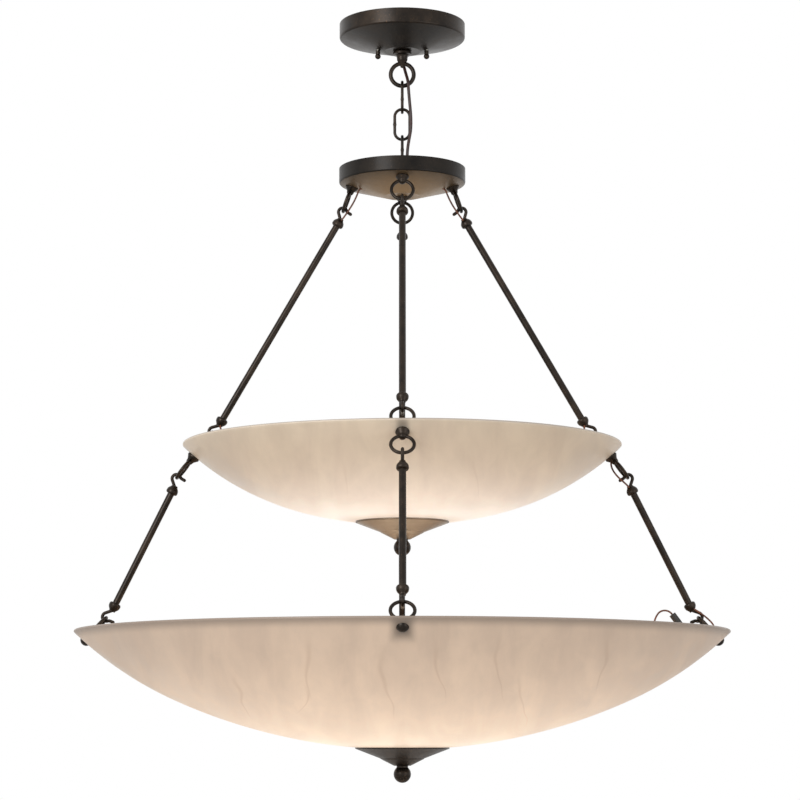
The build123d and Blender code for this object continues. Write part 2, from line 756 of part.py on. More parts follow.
bend_start = hook_point(turn_start)
bend_end = hook_point(turn_end)
shank_run = (bend_start[0]) / abs(math.cos(turn_start))
shank_root = (0, bend_start[1] - shank_run * math.sin(turn_start))
tip_middle = (bend_end[0] + tip_bend * math.sin(turn_end), bend_end[1] + tip_bend * math.cos(turn_end))
tip_half = turn_end + math.radians(tip_turn / 2)
tip_full = turn_end + math.radians(tip_turn)
tip_mid_point = (tip_middle[0] - tip_bend * math.sin(tip_half), tip_middle[1] - tip_bend * math.cos(tip_half))
tip_start = (tip_middle[0] - tip_bend * math.sin(tip_full), tip_middle[1] - tip_bend * math.cos(tip_full))
tip_point = (tip_start[0] - tip_length * math.cos(tip_full), tip_start[1] + tip_length * math.sin(tip_full))
with BuildPart() as end_cap:
    with BuildLine(Plane.XZ) as hook_route:
        Line(shank_root, bend_start)
        ThreePointArc(bend_start, hook_point((turn_start + turn_end) / 2), bend_end)
        ThreePointArc(bend_end, tip_mid_point, tip_start)
        Line(tip_start, tip_point)
    with BuildSketch(Plane(hook_route.line @ 0, z_dir=hook_route.line % 0)):
        Circle(hook_wire / 2)
    sweep()
    with Locations((tip_point[0], 0, tip_point[1])):
        Sphere(hook_wire / 2)
    with BuildSketch(Plane.XZ):
        with BuildLine():
            Polyline((0, 0), (cap_neck, 0))
            Bezier(
                (cap_neck, 0),
                (cap_neck, -cap_rim),
                (cap_radius, -cap_rim),
                (cap_radius, -cap_length + cap_rim),
            )
            ThreePointArc(
                (cap_radius, -cap_length + cap_rim),
                (cap_radius - cap_round * (1 - math.sqrt(0.5)), -cap_length + cap_rim * (1 - math.sqrt(0.5))),
                (cap_radius - cap_round, -cap_length),
            )
            Polyline((cap_radius - cap_round, -cap_length), (0, -cap_length), (0, 0))
        make_face()
    revolve(axis=Axis.Z)
    with Locations((0, 0, -cap_length)):
        Cylinder(
            rod_radius + fit_gap,
            rod_in_cap,
            align=(Align.CENTER, Align.CENTER, Align.MIN),
            mode=Mode.SUBTRACT,
        )
end_cap_part = end_cap.part

# Ring wire seated in the bend, measured from the end of the cap
seat_reach = hook_reach + hook_radius - hook_wire / 2 - arm_ring_wire / 2 - seat_slack


def rod_frame(top, bottom, azimuth):
    """Planes at the two cap ends of a rod, Z away from the rod, for hooks that hold wires at these points."""
    run = math.hypot(bottom[0] - top[0], bottom[1] - top[1])
    lean = math.degrees(math.atan2(bottom[0] - top[0], bottom[1] - top[1]))
    across = lean - 90
    planes = []
    for point, outward in ((top, lean + 180), (bottom, lean)):
        face = step_along(point, outward, -seat_reach)
        face = step_along(face, across, -hook_offset)
        plane = arm_plane(face, outward, azimuth)
        side = arm_plane(face, across, azimuth).z_dir
        planes.append(Plane(origin=plane.origin, x_dir=side, z_dir=plane.z_dir))
    return planes, run


def make_rods(tier, top, bottom):
    """Four tube rods of one tier, each its own part, and the caps of their ends as two groups."""
    planes, run = rod_frame(top, bottom, 0)
    tube_length = run - 2 * (seat_reach + cap_length - rod_in_cap) - 2 * seat_film
    for side, azimuth in zip(ARM_SIDES, (0, 90, 180, 270)):
        upper_end = rod_frame(top, bottom, azimuth)[0][0]
        with BuildPart() as rod:
            with BuildSketch(upper_end.offset(-(cap_length - rod_in_cap) - seat_film)):
                Circle(rod_radius)
                Circle(rod_bore, mode=Mode.SUBTRACT)
            extrude(amount=-tube_length)
        save(rod, f"{tier}_rod_{side}")
    groups = []
    for plane in planes:
        with BuildPart() as group:
            with PolarLocations(0, ARMS):
                with Locations(plane):
                    add(end_cap_part)
        groups.append(group.part)
    print(tier, "rod length", round(tube_length, 1), "lean of the arm", round(run, 1))
    return groups


upper_top_caps, upper_bottom_caps = make_rods("upper", upper_rod_top, upper_rod_bottom)
lower_top_caps, lower_bottom_caps = make_rods("lower", lower_rod_top, lower_rod_bottom)


# Lamp leads: one down the left arm to the upper lamps, one down the right arm to the lower lamps
def cap_points(plane):
    """The lead's corners at a cap, outside it and in the rod's bore. Y is measured on the right-hand arm."""
    points = []
    for (out, side), reach in ((lead_at_cap, lead_cap_reach), (lead_in_bore, -lead_bore_depth)):
        spot = plane.from_local_coords((out, 0, reach))
        points.append((spot.X, side, spot.Z))
    return points


upper_planes = rod_frame(upper_rod_top, upper_rod_bottom, 0)[0]
lower_planes = rod_frame(lower_rod_top, lower_rod_bottom, 0)[0]
upper_in, upper_in_bore = cap_points(upper_planes[0])
upper_out, upper_out_bore = cap_points(upper_planes[1])
lower_in, lower_in_bore = cap_points(lower_planes[0])
lower_out, lower_out_bore = cap_points(lower_planes[1])
hub_run = [
    (40, -8, -243.5),
    (60.5, -7.5, -240),
    (64.5, -7, -252),
    (71.5, -6, -266),
    upper_in,
    upper_in_bore,
    upper_out_bore,
    upper_out,
]
inner_corner = step_along(upper_inner_seat, upper_inner_lean, lead_in_cup)
outer_corner = step_along(upper_outer_seat, upper_outer_lean, lead_in_cup)
connector_axis = Vector(*connector_lean).normalized()
connector_base = Vector(*connector_low)
connector_top = connector_base + connector_axis * connector_length
lead_low = connector_base - connector_axis * connector_length / 2
lead_high = connector_top + connector_axis * connector_radius
cluster_top_upper = upper_bottom + glass_wall + cluster_base + cluster_height
cluster_top_lower = lower_bottom + glass_wall + cluster_base + cluster_height
right_lead = [
    (18, -13, -245),
    *hub_run,
    (251, -7.5, -592),
    (256, -7, -611),
    (inner_corner[0] - 14, -3, inner_corner[1] - 1.2),
    (inner_corner[0], 0, inner_corner[1]),
    (outer_corner[0], 0, outer_corner[1]),
    (outer_corner[0] - 2, -1.5, outer_corner[1] - 12),
    (300, -6, -652),
    lower_in,
    lower_in_bore,
    lower_out_bore,
    (410.5, -6.3, -841),
    (424.5, -6.5, -851),
    (434.5, -8, -862),
    (433, -17, -876),
    (414, -20, -888),
    tuple(lead_low),
    tuple(lead_high),
    (364.1, -7.8, -840.1),
    (355.9, -7.5, -843.9),
    (350, -7.2, -856.6),
    (346.5, -8, -881),
    (343, -9, -915),
    (330, -10, -951),
    (290, -8, -969.5),
    (240, -6, -988),
    (190, -4, -1002.5),
    (140, -2, -1013.5),
    (94, 0, -1018),
    (62, 0, -1003),
    (48, 0, -975),
    (36, 0, cluster_top_lower + 8),
    (18, 0, cluster_top_lower + 19),
    (3, 0, cluster_top_lower + 13),
    (2.5, 0, cluster_top_lower - 9),
]
left_lead_arm = [
    *hub_run,
    (247, -7.5, -594),
    (239, -7, -622),
    (222, -6, -653),
    (190, -5, -679),
    (145, -3, -694.5),
    (98, -1, -704),
    (64, 0, -696),
    (46, 0, -672),
    (37, 0, cluster_top_upper + 3),
    (19, 0, cluster_top_upper + 16),
    (3, 0, cluster_top_upper + 11),
    (2.5, 0, cluster_top_upper - 9),
]
# On the left arm both outward and sideways turn round
left_lead = [(-16, -16, -244)] + [(-out, -side if side > 0 else side, height) for out, side, height in left_lead_arm]
upper_lamp_lead = cord_tube(left_lead, lead_diameter)
lower_lamp_lead = cord_tube(right_lead, lead_diameter)
left_wireway = cord_tube(left_lead, lead_diameter + 2 * lead_gap)
right_wireway = cord_tube(right_lead, lead_diameter + 2 * lead_gap)
for cord, label in ((upper_lamp_lead, "upper_lamp_lead"), (lower_lamp_lead, "lower_lamp_lead")):
    cord.label = label
    export_step(cord, f"parts/{label}.step")

connector_plane = Plane(origin=connector_base, z_dir=connector_axis)
with BuildPart() as lead_connector:
    with Locations(connector_plane):
        Cylinder(connector_radius, connector_length, align=(Align.CENTER, Align.CENTER, Align.MIN))
        Cone(
            connector_skirt_radius,
            connector_radius,
            connector_skirt,
            align=(Align.CENTER, Align.CENTER, Align.MIN),
        )
    add(right_wireway, mode=Mode.SUBTRACT)
save(lead_connector, "lead_connector")

# Bowls
def bowl_shell(rim_height, big_middle, rim_middle, big_arc, rim_arc, change):
    """Spun glass bowl: two arcs outside, two inside, and a flat rim."""
    rim_turns = []
    for arc in (rim_arc, rim_arc - glass_wall):
        rim_turns.append(math.degrees(math.acos((rim_middle[1] - rim_height) / arc)))
    with BuildPart() as shell:
        with BuildSketch(Plane.XZ):
            with BuildLine():
                for wall, rim_turn in zip((0, glass_wall), rim_turns):
                    big = big_arc - wall
                    small = rim_arc - wall
                    ThreePointArc(
                        glass_point(big_middle, big, 0),
                        glass_point(big_middle, big, change / 2),
                        glass_point(big_middle, big, change),
                    )
                    ThreePointArc(
                        glass_point(rim_middle, small, change),
                        glass_point(rim_middle, small, (change + rim_turn) / 2),
                        glass_point(rim_middle, small, rim_turn),
                    )
                Line(
                    glass_point(rim_middle, rim_arc, rim_turns[0]),
                    glass_point(rim_middle, rim_arc - glass_wall, rim_turns[1]),
                )
                Line((0, big_middle[1] - big_arc), (0, big_middle[1] - big_arc + glass_wall))
            make_face()
        revolve(axis=Axis.Z)
    return shell.part


def drill_part(plane, radius):
    """Round drill across the glass at an arm hole."""
    with BuildPart() as drill:
        with Locations(plane):
            Cylinder(radius, 4 * glass_wall)
    return drill.part


upper_shell = bowl_shell(
    upper_rim_height, upper_big_middle, upper_rim_middle, upper_big_arc, upper_rim_arc, upper_arc_change
)
lower_shell = bowl_shell(
    lower_rim_height, lower_big_middle, lower_rim_middle, lower_big_arc, lower_rim_arc, lower_arc_change
)
upper_drill = drill_part(arm_plane(upper_hole, upper_outer_lean), bowl_stud_radius + hole_gap)
lower_drill = drill_part(arm_plane(lower_hole, 180 - lower_hole_angle), bolt_shank_radius + hole_gap)
with BuildPart() as upper_bowl:
    add(upper_shell)
    with Locations((0, 0, upper_bottom)):
        Cylinder(stem_radius + hole_gap, 4 * glass_wall, mode=Mode.SUBTRACT)
    with PolarLocations(0, ARMS):
        add(upper_drill, mode=Mode.SUBTRACT)
save(upper_bowl, "upper_bowl")
with BuildPart() as lower_bowl:
    add(lower_shell)
    with Locations((0, 0, lower_bottom)):
        Cylinder(stem_radius + hole_gap, 4 * glass_wall, mode=Mode.SUBTRACT)
    with PolarLocations(0, ARMS):
        add(lower_drill, mode=Mode.SUBTRACT)
save(lower_bowl, "lower_bowl")


# Middle of each bowl: check plate, finial, stem, washer, cluster, lampholders and bulbs
def make_middle(tier, bottom, big_arc, lamps, across, first_lamp):
    """Every piece of one bowl's middle. Returns the washer and the stem nut, which share groups."""
    rim = bottom + big_arc - math.sqrt(big_arc ** 2 - (check_radius - check_wall) ** 2) - seat_film
    with BuildPart() as plate:
        with BuildSketch(Plane.XZ):
            with BuildLine():
                Polyline(
                    (0, rim),
                    (check_radius, rim),
                    (check_radius, rim - check_band),
                    (check_step_radius, rim - check_step_height),
                    (check_step_radius - check_step_in, rim - check_step_height - check_step_in),
                    (check_end_radius, rim - check_height),
                    (0, rim - check_height),
                    (0, rim),
                )
            make_face()
        revolve(axis=Axis.Z)
        offset(amount=-check_wall, openings=faces().sort_by(Axis.Z)[-1])
        with Locations((0, 0, rim - check_height)):
            Cylinder(stem_radius + hole_gap, 4 * check_wall, mode=Mode.SUBTRACT)
    save(plate, f"{tier}_check_plate")

    neck_top = rim - check_height - seat_film
    ball = neck_top - finial_neck_height - finial_sink
    with BuildPart() as finial:
        with Locations((0, 0, ball)):
            Sphere(finial_radius)
        with Locations((0, 0, neck_top - finial_neck_height)):
            Cylinder(
                2 * finial_radius,
                2 * finial_radius,
                align=(Align.CENTER, Align.CENTER, Align.MIN),
                mode=Mode.SUBTRACT,
            )
        with Locations((0, 0, neck_top)):
            Cylinder(finial_neck_radius, 2 * finial_neck_height, align=(Align.CENTER, Align.CENTER, Align.MAX))
            Hole(stem_radius + seat_film, depth=finial_thread_depth + finial_neck_height)
    save(finial, f"{tier}_finial")

    glass = bottom + glass_wall
    washer_seat = glass + gap_at(seat_washer_radius, big_arc - glass_wall)
    washer_top = washer_seat + seat_washer_thickness
    body = glass + cluster_base
    stem_low = neck_top - finial_thread_depth
    stem_high = body + cluster_wall + stem_above_cluster
    with BuildPart() as stem:
        with Locations((0, 0, stem_low)):
            Cylinder(stem_radius, stem_high - stem_low, align=(Align.CENTER, Align.CENTER, Align.MIN))
            Cylinder(
                stem_bore,
                stem_high - stem_low,
                align=(Align.CENTER, Align.CENTER, Align.MIN),
                mode=Mode.SUBTRACT,
            )
    save(stem, f"{tier}_stem")

    with BuildPart() as washer:
        with Locations((0, 0, washer_seat)):
            Cylinder(seat_washer_radius, seat_washer_thickness, align=(Align.CENTER, Align.CENTER, Align.MIN))
            Hole(stem_radius + fit_gap)
    with BuildPart() as nut:
        with BuildSketch(Plane.XY.offset(body + cluster_wall)):
            RegularPolygon(stem_nut_radius, 6)
            Circle(stem_radius + seat_film, mode=Mode.SUBTRACT)
        extrude(amount=stem_nut_height)

    flat = across / 2
    flat_turn = first_lamp - 180 / lamps
    lamp_height = body + cluster_height / 2
    with BuildPart() as cluster:
        with BuildSketch(Plane.XY.offset(body)):
            RegularPolygon(flat, lamps, major_radius=False, rotation=flat_turn)
        extrude(amount=cluster_height)
        with BuildSketch(Plane.XY.offset(body + cluster_wall)):
            RegularPolygon(flat - cluster_wall, lamps, major_radius=False, rotation=flat_turn)
        extrude(amount=cluster_height - 2 * cluster_wall, mode=Mode.SUBTRACT)
        with Locations((0, 0, washer_top)):
            Cylinder(cluster_neck_radius, body - washer_top, align=(Align.CENTER, Align.CENTER, Align.MIN))
        with Locations((0, 0, body + cluster_wall)):
            Hole(stem_radius + fit_gap)
        with Locations((0, 0, body + cluster_height)):
            Cylinder(cluster_hole_radius, 2 * cluster_wall + seat_film, mode=Mode.SUBTRACT)
        with PolarLocations(0, lamps, start_angle=first_lamp):
            with Locations(Location((flat, 0, lamp_height), (0, 90, 0))):
                Cylinder(socket_stud_radius + fit_gap, 4 * cluster_wall, mode=Mode.SUBTRACT)
    save(cluster, f"{tier}_cluster")

    with BuildPart() as socket:
        with Locations((0, 0, seat_film)):
            Cylinder(socket_radius, socket_length, align=(Align.CENTER, Align.CENTER, Align.MIN))
        with Locations((0, 0, socket_length + seat_film)):
            Hole(bulb_base_radius + hole_gap, depth=socket_length - socket_floor)
        with Locations((0, 0, seat_film)):
            Cylinder(socket_stud_radius, socket_stud_length, align=(Align.CENTER, Align.CENTER, Align.MAX))
    with BuildPart() as bulb:
        with BuildSketch(Plane.XZ):
            with BuildLine():
                Polyline(
                    (0, socket_floor + hole_gap),
                    (bulb_base_radius - bulb_foot, socket_floor + hole_gap),
                    (bulb_base_radius, socket_floor + hole_gap + bulb_foot),
                    (bulb_base_radius, socket_length),
                )
                Spline(
                    (bulb_base_radius, socket_length),
                    (bulb_shoulder[0], socket_length + bulb_shoulder[1]),
                    (bulb_globe_radius, socket_length + bulb_globe_at),
                    tangents=((0, 1), (0, 1)),
                )
                ThreePointArc(
                    (bulb_globe_radius, socket_length + bulb_globe_at),
                    (
                        bulb_globe_radius * math.sqrt(0.5),
                        socket_length + bulb_globe_at + bulb_globe_radius * math.sqrt(0.5),
                    ),
                    (0, socket_length + bulb_globe_at + bulb_globe_radius),
                )
                Line((0, socket_length + bulb_globe_at + bulb_globe_radius), (0, socket_floor + hole_gap))
            make_face()
        revolve(axis=Axis.Z)
    for one, label in ((socket.part, "sockets"), (bulb.part, "bulbs")):
        with BuildPart() as group:
            with PolarLocations(0, lamps, start_angle=first_lamp):
                with Locations(Location((flat, 0, lamp_height), (0, 90, 0))):
                    add(one)
        save(group, f"{tier}_{label}")
    return washer.part, nut.part


upper_washer, upper_nut = make_middle(
    "upper", upper_bottom, upper_big_arc, UPPER_LAMPS, upper_cluster_across, upper_first_lamp
)
lower_washer, lower_nut = make_middle(
    "lower", lower_bottom, lower_big_arc, LOWER_LAMPS, lower_cluster_across, lower_first_lamp
)
with BuildPart() as seat_washers:
    add(upper_washer)
    add(lower_washer)
save(seat_washers, "seat_washers")
with BuildPart() as stem_nuts:
    add(hub_nut_part)
    add(upper_nut)
    add(lower_nut)
save(stem_nuts, "stem_nuts")

# Terminal block on the hub's floor, under the end of the supply cord
with BuildPart() as hub_terminal_block:
    with Locations((*terminal_block_at, hub_floor + seat_film)):
        Box(*terminal_block_size, align=(Align.CENTER, Align.CENTER, Align.MIN))
    add(supply_wireway, mode=Mode.SUBTRACT)

    add(left_wireway, mode=Mode.SUBTRACT)
    add(right_wireway, mode=Mode.SUBTRACT)
save(hub_terminal_block, "hub_terminal_block")

# Pieces that the leads pass through
with BuildPart() as upper_inner_cups:
    with PolarLocations(0, ARMS):
        add(upper_inner_cup_part)
with BuildPart() as upper_outer_cups:
    with PolarLocations(0, ARMS):
        add(upper_outer_cup_part)
for group, label in (
    (hub_pan.part, "hub_pan"),
    (upper_top_caps, "upper_rod_top_hooks"),
    (upper_bottom_caps, "upper_rod_bottom_hooks"),
    (lower_top_caps, "lower_rod_top_hooks"),
    (lower_bottom_caps, "lower_rod_bottom_hooks"),
    (upper_inner_cups.part, "upper_inner_cups"),
    (upper_outer_cups.part, "upper_outer_cups"),
):
    with BuildPart() as drilled:
        add(group)
        add(left_wireway, mode=Mode.SUBTRACT)
        add(right_wireway, mode=Mode.SUBTRACT)
    save(drilled, label)
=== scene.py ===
# %% [markdown]
# # A two-tier bowl pendant light
#
# Two shallow glass bowls hang under a small hub, each on four arms of rod and ring. The solids come
# packed from the CAD source. This file dresses them: it swaps a few for finer surfaces, gives every
# piece a finish worked out by nodes, and lights them as a plain studio would.

import json
import math

import bmesh
import bpy
import numpy as np
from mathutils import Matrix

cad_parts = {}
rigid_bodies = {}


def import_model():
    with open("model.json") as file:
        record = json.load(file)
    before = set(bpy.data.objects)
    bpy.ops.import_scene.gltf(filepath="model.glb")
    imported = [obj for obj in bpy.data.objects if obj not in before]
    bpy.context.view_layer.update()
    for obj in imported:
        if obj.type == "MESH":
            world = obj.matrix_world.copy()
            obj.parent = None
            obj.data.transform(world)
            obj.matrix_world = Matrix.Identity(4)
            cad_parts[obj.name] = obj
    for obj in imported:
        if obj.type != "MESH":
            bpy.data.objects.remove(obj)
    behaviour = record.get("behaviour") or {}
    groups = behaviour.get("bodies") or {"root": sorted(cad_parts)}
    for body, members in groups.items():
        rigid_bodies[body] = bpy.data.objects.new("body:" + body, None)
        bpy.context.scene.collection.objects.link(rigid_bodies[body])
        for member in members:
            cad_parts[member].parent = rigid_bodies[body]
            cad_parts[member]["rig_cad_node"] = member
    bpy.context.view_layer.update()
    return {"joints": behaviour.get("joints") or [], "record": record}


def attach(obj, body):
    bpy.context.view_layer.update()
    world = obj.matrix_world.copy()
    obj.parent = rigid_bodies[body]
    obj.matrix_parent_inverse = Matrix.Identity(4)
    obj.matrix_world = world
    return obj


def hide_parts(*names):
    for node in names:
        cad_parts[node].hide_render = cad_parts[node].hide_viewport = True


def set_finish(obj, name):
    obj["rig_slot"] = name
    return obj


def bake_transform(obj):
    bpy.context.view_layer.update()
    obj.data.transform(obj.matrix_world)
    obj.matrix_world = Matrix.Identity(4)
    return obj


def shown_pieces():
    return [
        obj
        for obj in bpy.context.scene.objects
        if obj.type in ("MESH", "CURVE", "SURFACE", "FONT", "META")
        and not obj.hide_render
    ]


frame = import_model()
MM = 0.001

# %% [markdown]
# ## The camera
#
# The photograph was taken with a long lens from a little over three metres, level with the gap
# between the bowls and the floor, looking slightly up: the rims curve upwards in the middle. A
# camera placed at that height and tilted by the same angle gives the same curves without any shift.

# %% Camera
camera_place = (-0.0032, -3.5986, -1.0230)
camera_tilt = 7.58
camera_data = bpy.data.cameras.new("studio_camera")
camera_data.sensor_width = 36.0
camera_data.lens = 115.83
camera = bpy.data.objects.new("studio_camera", camera_data)
camera.location = camera_place
camera.rotation_euler = (math.radians(90 + camera_tilt), 0, 0)
bpy.context.scene.collection.objects.link(camera)
bpy.context.scene.camera = camera
bpy.context.scene.view_settings.view_transform = "Standard"
print("lens", camera_data.lens, "mm, tilted up", camera_tilt, "degrees")

# %% [markdown]
# ## Cords
#
# A cord is a length of something flexible, so it is a smooth spline through a few points and never
# a row of straight pieces. The two lamp leads are thin: each leaves the hub through its pan, slips
# into the hollow rods of one arm, and shows only as a small bow beside a ring. A NURBS curve of
# order three stays near its points and bends evenly between them.

# %% Smooth lines
def smooth_line(name, points, resolution=8):
    """Lay one open NURBS curve near these points, given in millimetres."""
    curve = bpy.data.curves.new(name, "CURVE")
    curve.dimensions = "3D"
    curve.resolution_u = resolution
    spline = curve.splines.new("NURBS")
    spline.points.add(len(points) - 1)
    corners = np.column_stack([np.array(points) * MM, np.ones(len(points))])
    spline.points.foreach_set("co", corners.ravel())
    spline.order_u = 3
    spline.use_endpoint_u = True
    return curve


def line_points(curve):
    """Read the points along a curve's own line, which has no thickness yet."""
    mesh = bpy.data.meshes.new_from_object(bpy.data.objects.new("line", curve))
    points = np.zeros(len(mesh.vertices) * 3)
    mesh.vertices.foreach_get("co", points)
    return points.reshape(-1, 3)


def line_length(points):
    """Add up the steps from point to point."""
    return float(np.linalg.norm(np.diff(points, axis=0), axis=1).sum())


# %% The two lamp leads
lead_diameter = 2.5
hub_to_rod = [
    (40.0, -8.0, -243.5),
    (60.5, -7.5, -240.0),
    (64.5, -7.0, -252.0),
    (71.5, -6.0, -266.0),
    (83.61, -5.6, -283.92),
    (90.69, -0.4, -290.80),
    (96.29, -0.4, -300.50),
    (249.18, -0.4, -565.66),
    (254.78, -0.4, -575.36),
    (257.19, -5.6, -584.94),
]
left_route = [(-16.0, -16.0, -244.0)]
left_route += [(-out, side, height) for out, side, height in hub_to_rod]
left_route += [
    (-247.0, -7.5, -594.0),
    (-239.0, -7.0, -622.0),
    (-222.0, -6.0, -653.0),
    (-190.0, -5.0, -679.0),
    (-145.0, -3.0, -694.5),
    (-98.0, -1.0, -704.0),
    (-64.0, 0.0, -696.0),
    (-46.0, 0.0, -672.0),
    (-37.0, 0.0, -647.02),
    (-19.0, 0.0, -634.02),
    (-3.0, 0.0, -639.02),
    (-2.5, 0.0, -659.02),
]
right_route = [(18.0, -13.0, -245.0)] + hub_to_rod
right_route += [
    (251.0, -7.5, -592.0),
    (256.0, -7.0, -611.0),
    (274.21, -3.0, -619.79),
    (288.21, 0.0, -618.59),
    (294.63, 0.0, -626.28),
    (292.63, -1.5, -638.28),
    (300.0, -6.0, -652.0),
    (315.43, -5.6, -665.21),
    (322.04, -0.4, -672.56),
    (326.97, -0.4, -682.62),
    (396.49, -0.4, -824.47),
    (401.77, -0.4, -835.25),
    (410.5, -6.3, -841.0),
    (424.5, -6.5, -851.0),
    (434.5, -8.0, -862.0),
    (433.0, -17.0, -876.0),
    (414.0, -20.0, -888.0),
    (399.43, -10.81, -878.89),
    (388.0, -9.65, -863.2),
    (378.1, -8.63, -849.6),
    (372.84, -8.10, -842.38),
    (364.1, -7.8, -840.1),
    (355.9, -7.5, -843.9),
    (350.0, -7.2, -856.6),
    (346.5, -8.0, -881.0),
    (343.0, -9.0, -915.0),
    (330.0, -10.0, -951.0),
    (290.0, -8.0, -969.5),
    (240.0, -6.0, -988.0),
    (190.0, -4.0, -1002.5),
    (140.0, -2.0, -1013.5),
    (94.0, 0.0, -1018.0),
    (62.0, 0.0, -1003.0),
    (48.0, 0.0, -975.0),
    (36.0, 0.0, -955.08),
    (18.0, 0.0, -944.08),
    (3.0, 0.0, -950.08),
    (2.5, 0.0, -972.08),
]


def lamp_lead(name, route, node):
    curve = smooth_line(name, route)
    length = line_length(line_points(curve))
    wire = curve.splines[0].points
    wire.foreach_set("radius", np.full(len(wire), lead_diameter / 2 * MM))
    curve.bevel_depth = 1.0  # each point's radius multiplies it, and a curve's box grows by that radius
    curve.bevel_resolution = 3
    curve.use_fill_caps = True
    lead = bpy.data.objects.new(name, curve)
    bpy.context.scene.collection.objects.link(lead)
    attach(lead, "hanging_light")
    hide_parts(node)
    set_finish(lead, "lead_jacket")
    print(name, round(length / MM, 1), "mm long")
    return lead


upper_lead = lamp_lead("upper_lead_jacket", left_route, "upper_lamp_lead")
lower_lead = lamp_lead("lower_lead_jacket", right_route, "lower_lamp_lead")

# %% [markdown]
# ## Surfaces from arrays
#
# Each new piece is a grid of points worked out by a formula and joined into quads. One function
# joins the grid, one spins an outline round an axis, and one carries a circle along a line. All of
# them close their ends, so every piece is a true solid with an inside and an outside.

# %% Grids into meshes
def joined_grid(grid, around=True, along=False):
    """Number the quads of a (rows, columns, 3) grid; around and along join last edges to first."""
    rows, columns = grid.shape[:2]
    index = np.arange(rows * columns).reshape(rows, columns)
    if around:
        index = np.hstack([index, index[:, :1]])
    if along:
        index = np.vstack([index, index[:1]])
    quads = np.stack([index[:-1, :-1], index[1:, :-1], index[1:, 1:], index[:-1, 1:]], axis=-1)
    return grid.reshape(-1, 3), quads.reshape(-1, 4)


weld_distance = 2e-6


def make_piece(name, shapes, body, nodes=(), slot=None, sharp=40.0):
    """Put shapes, each (points in mm, quads), into one mesh that rides on a body for some nodes.

    Points closer than weld_distance become one, and edges bent by more than sharp degrees stay crisp.
    """
    start = 0
    all_points, all_quads = [], []
    for points, quads in shapes:
        all_points.append(points * MM)
        all_quads.append(quads + start)
        start += len(points)
    mesh = bpy.data.meshes.new(name)
    mesh.from_pydata(np.vstack(all_points), [], np.vstack(all_quads))
    work = bmesh.new()
    work.from_mesh(mesh)
    bmesh.ops.remove_doubles(work, verts=work.verts, dist=weld_distance)
    bmesh.ops.recalc_face_normals(work, faces=work.faces)
    work.to_mesh(mesh)
    work.free()
    mesh.shade_smooth()
    mesh.set_sharp_from_angle(angle=math.radians(sharp))
    piece = bpy.data.objects.new(name, mesh)
    bpy.context.scene.collection.objects.link(piece)
    if body:
        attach(piece, body)
    if nodes:
        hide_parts(*nodes)
    if slot:
        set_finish(piece, slot)
    print(name, len(mesh.polygons), "faces")
    return piece


# %% Outlines and turned shapes
def arc(middle, radius, first, last, steps):
    """Points of a circle: middle + radius * (sin a, -cos a), with a in degrees from straight down."""
    turn = np.radians(np.linspace(first, last, steps))
    return np.column_stack([middle[0] + radius * np.sin(turn), middle[1] - radius * np.cos(turn)])


def turned(outline, segments=96, closed=False, wave=None):
    """Spin (radius, height) points round Z: (r cos a, r sin a, z). wave may add to both by angle."""
    angle = np.linspace(0, 2 * math.pi, segments, endpoint=False)
    radius = np.repeat(outline[:, :1], segments, axis=1)
    height = np.repeat(outline[:, 1:], segments, axis=1)
    if wave is not None:
        radius, height = wave(radius, height, angle[None, :])
    grid = np.stack([radius * np.cos(angle), radius * np.sin(angle), height], axis=-1)
    return joined_grid(grid, around=True, along=closed)


def placed(shape, origin, out, up):
    """Move a shape to a new frame: X goes along out, Z along up, and Y completes them."""
    out, up = np.array(out, float), np.array(up, float)
    side = np.cross(up, out)
    points, quads = shape
    return points @ np.stack([out, side, up]) + np.array(origin), quads


def spun_copies(shape, angles):
    """Copies of a shape turned round Z by these angles in degrees."""
    points, quads = shape
    copies = []
    for angle in np.radians(angles):
        c, s = math.cos(angle), math.sin(angle)
        copies.append((points @ np.array([[c, s, 0], [-s, c, 0], [0, 0, 1]]), quads))
    return copies


# %% Round wire along a line
def wire_along(line, radius, sides=24, closed=False):
    """Carry a circle along points in mm: each ring lies across the line and turns as little as it can."""
    line = np.array(line, float)
    ahead = np.roll(line, -1, axis=0) - line
    behind = line - np.roll(line, 1, axis=0)
    if not closed:
        ahead[-1], behind[0] = behind[-1], ahead[0]
    heading = ahead / np.linalg.norm(ahead, axis=1, keepdims=True)
    heading = heading + behind / np.linalg.norm(behind, axis=1, keepdims=True)
    heading /= np.linalg.norm(heading, axis=1, keepdims=True)
    start = np.cross(heading[0], (0.0, 0.0, 1.0))
    if np.linalg.norm(start) < 0.1:
        start = np.cross(heading[0], (1.0, 0.0, 0.0))
    across = [start / np.linalg.norm(start)]
    for direction in heading[1:]:
        carried = across[-1] - direction * float(across[-1] @ direction)
        across.append(carried / np.linalg.norm(carried))
    across = np.array(across)
    upward = np.cross(heading, across)
    angle = np.linspace(0, 2 * math.pi, sides, endpoint=False)
    width = np.broadcast_to(np.array(radius, float), len(line))[:, None, None]
    ring = across[:, None] * np.cos(angle)[:, None] + upward[:, None] * np.sin(angle)[:, None]
    return joined_grid(line[:, None] + ring * width, around=True, along=closed)

# %% [markdown]
# ## The supply cord
#
# The supply cord hangs beside the chain and has to bend with it. A blend can cross one joint only,
# so the cord is five short tubes, one for each swing. Each tube ends half way between two swings,
# where it moves with one body alone, and the next tube starts there with the same ring of points.

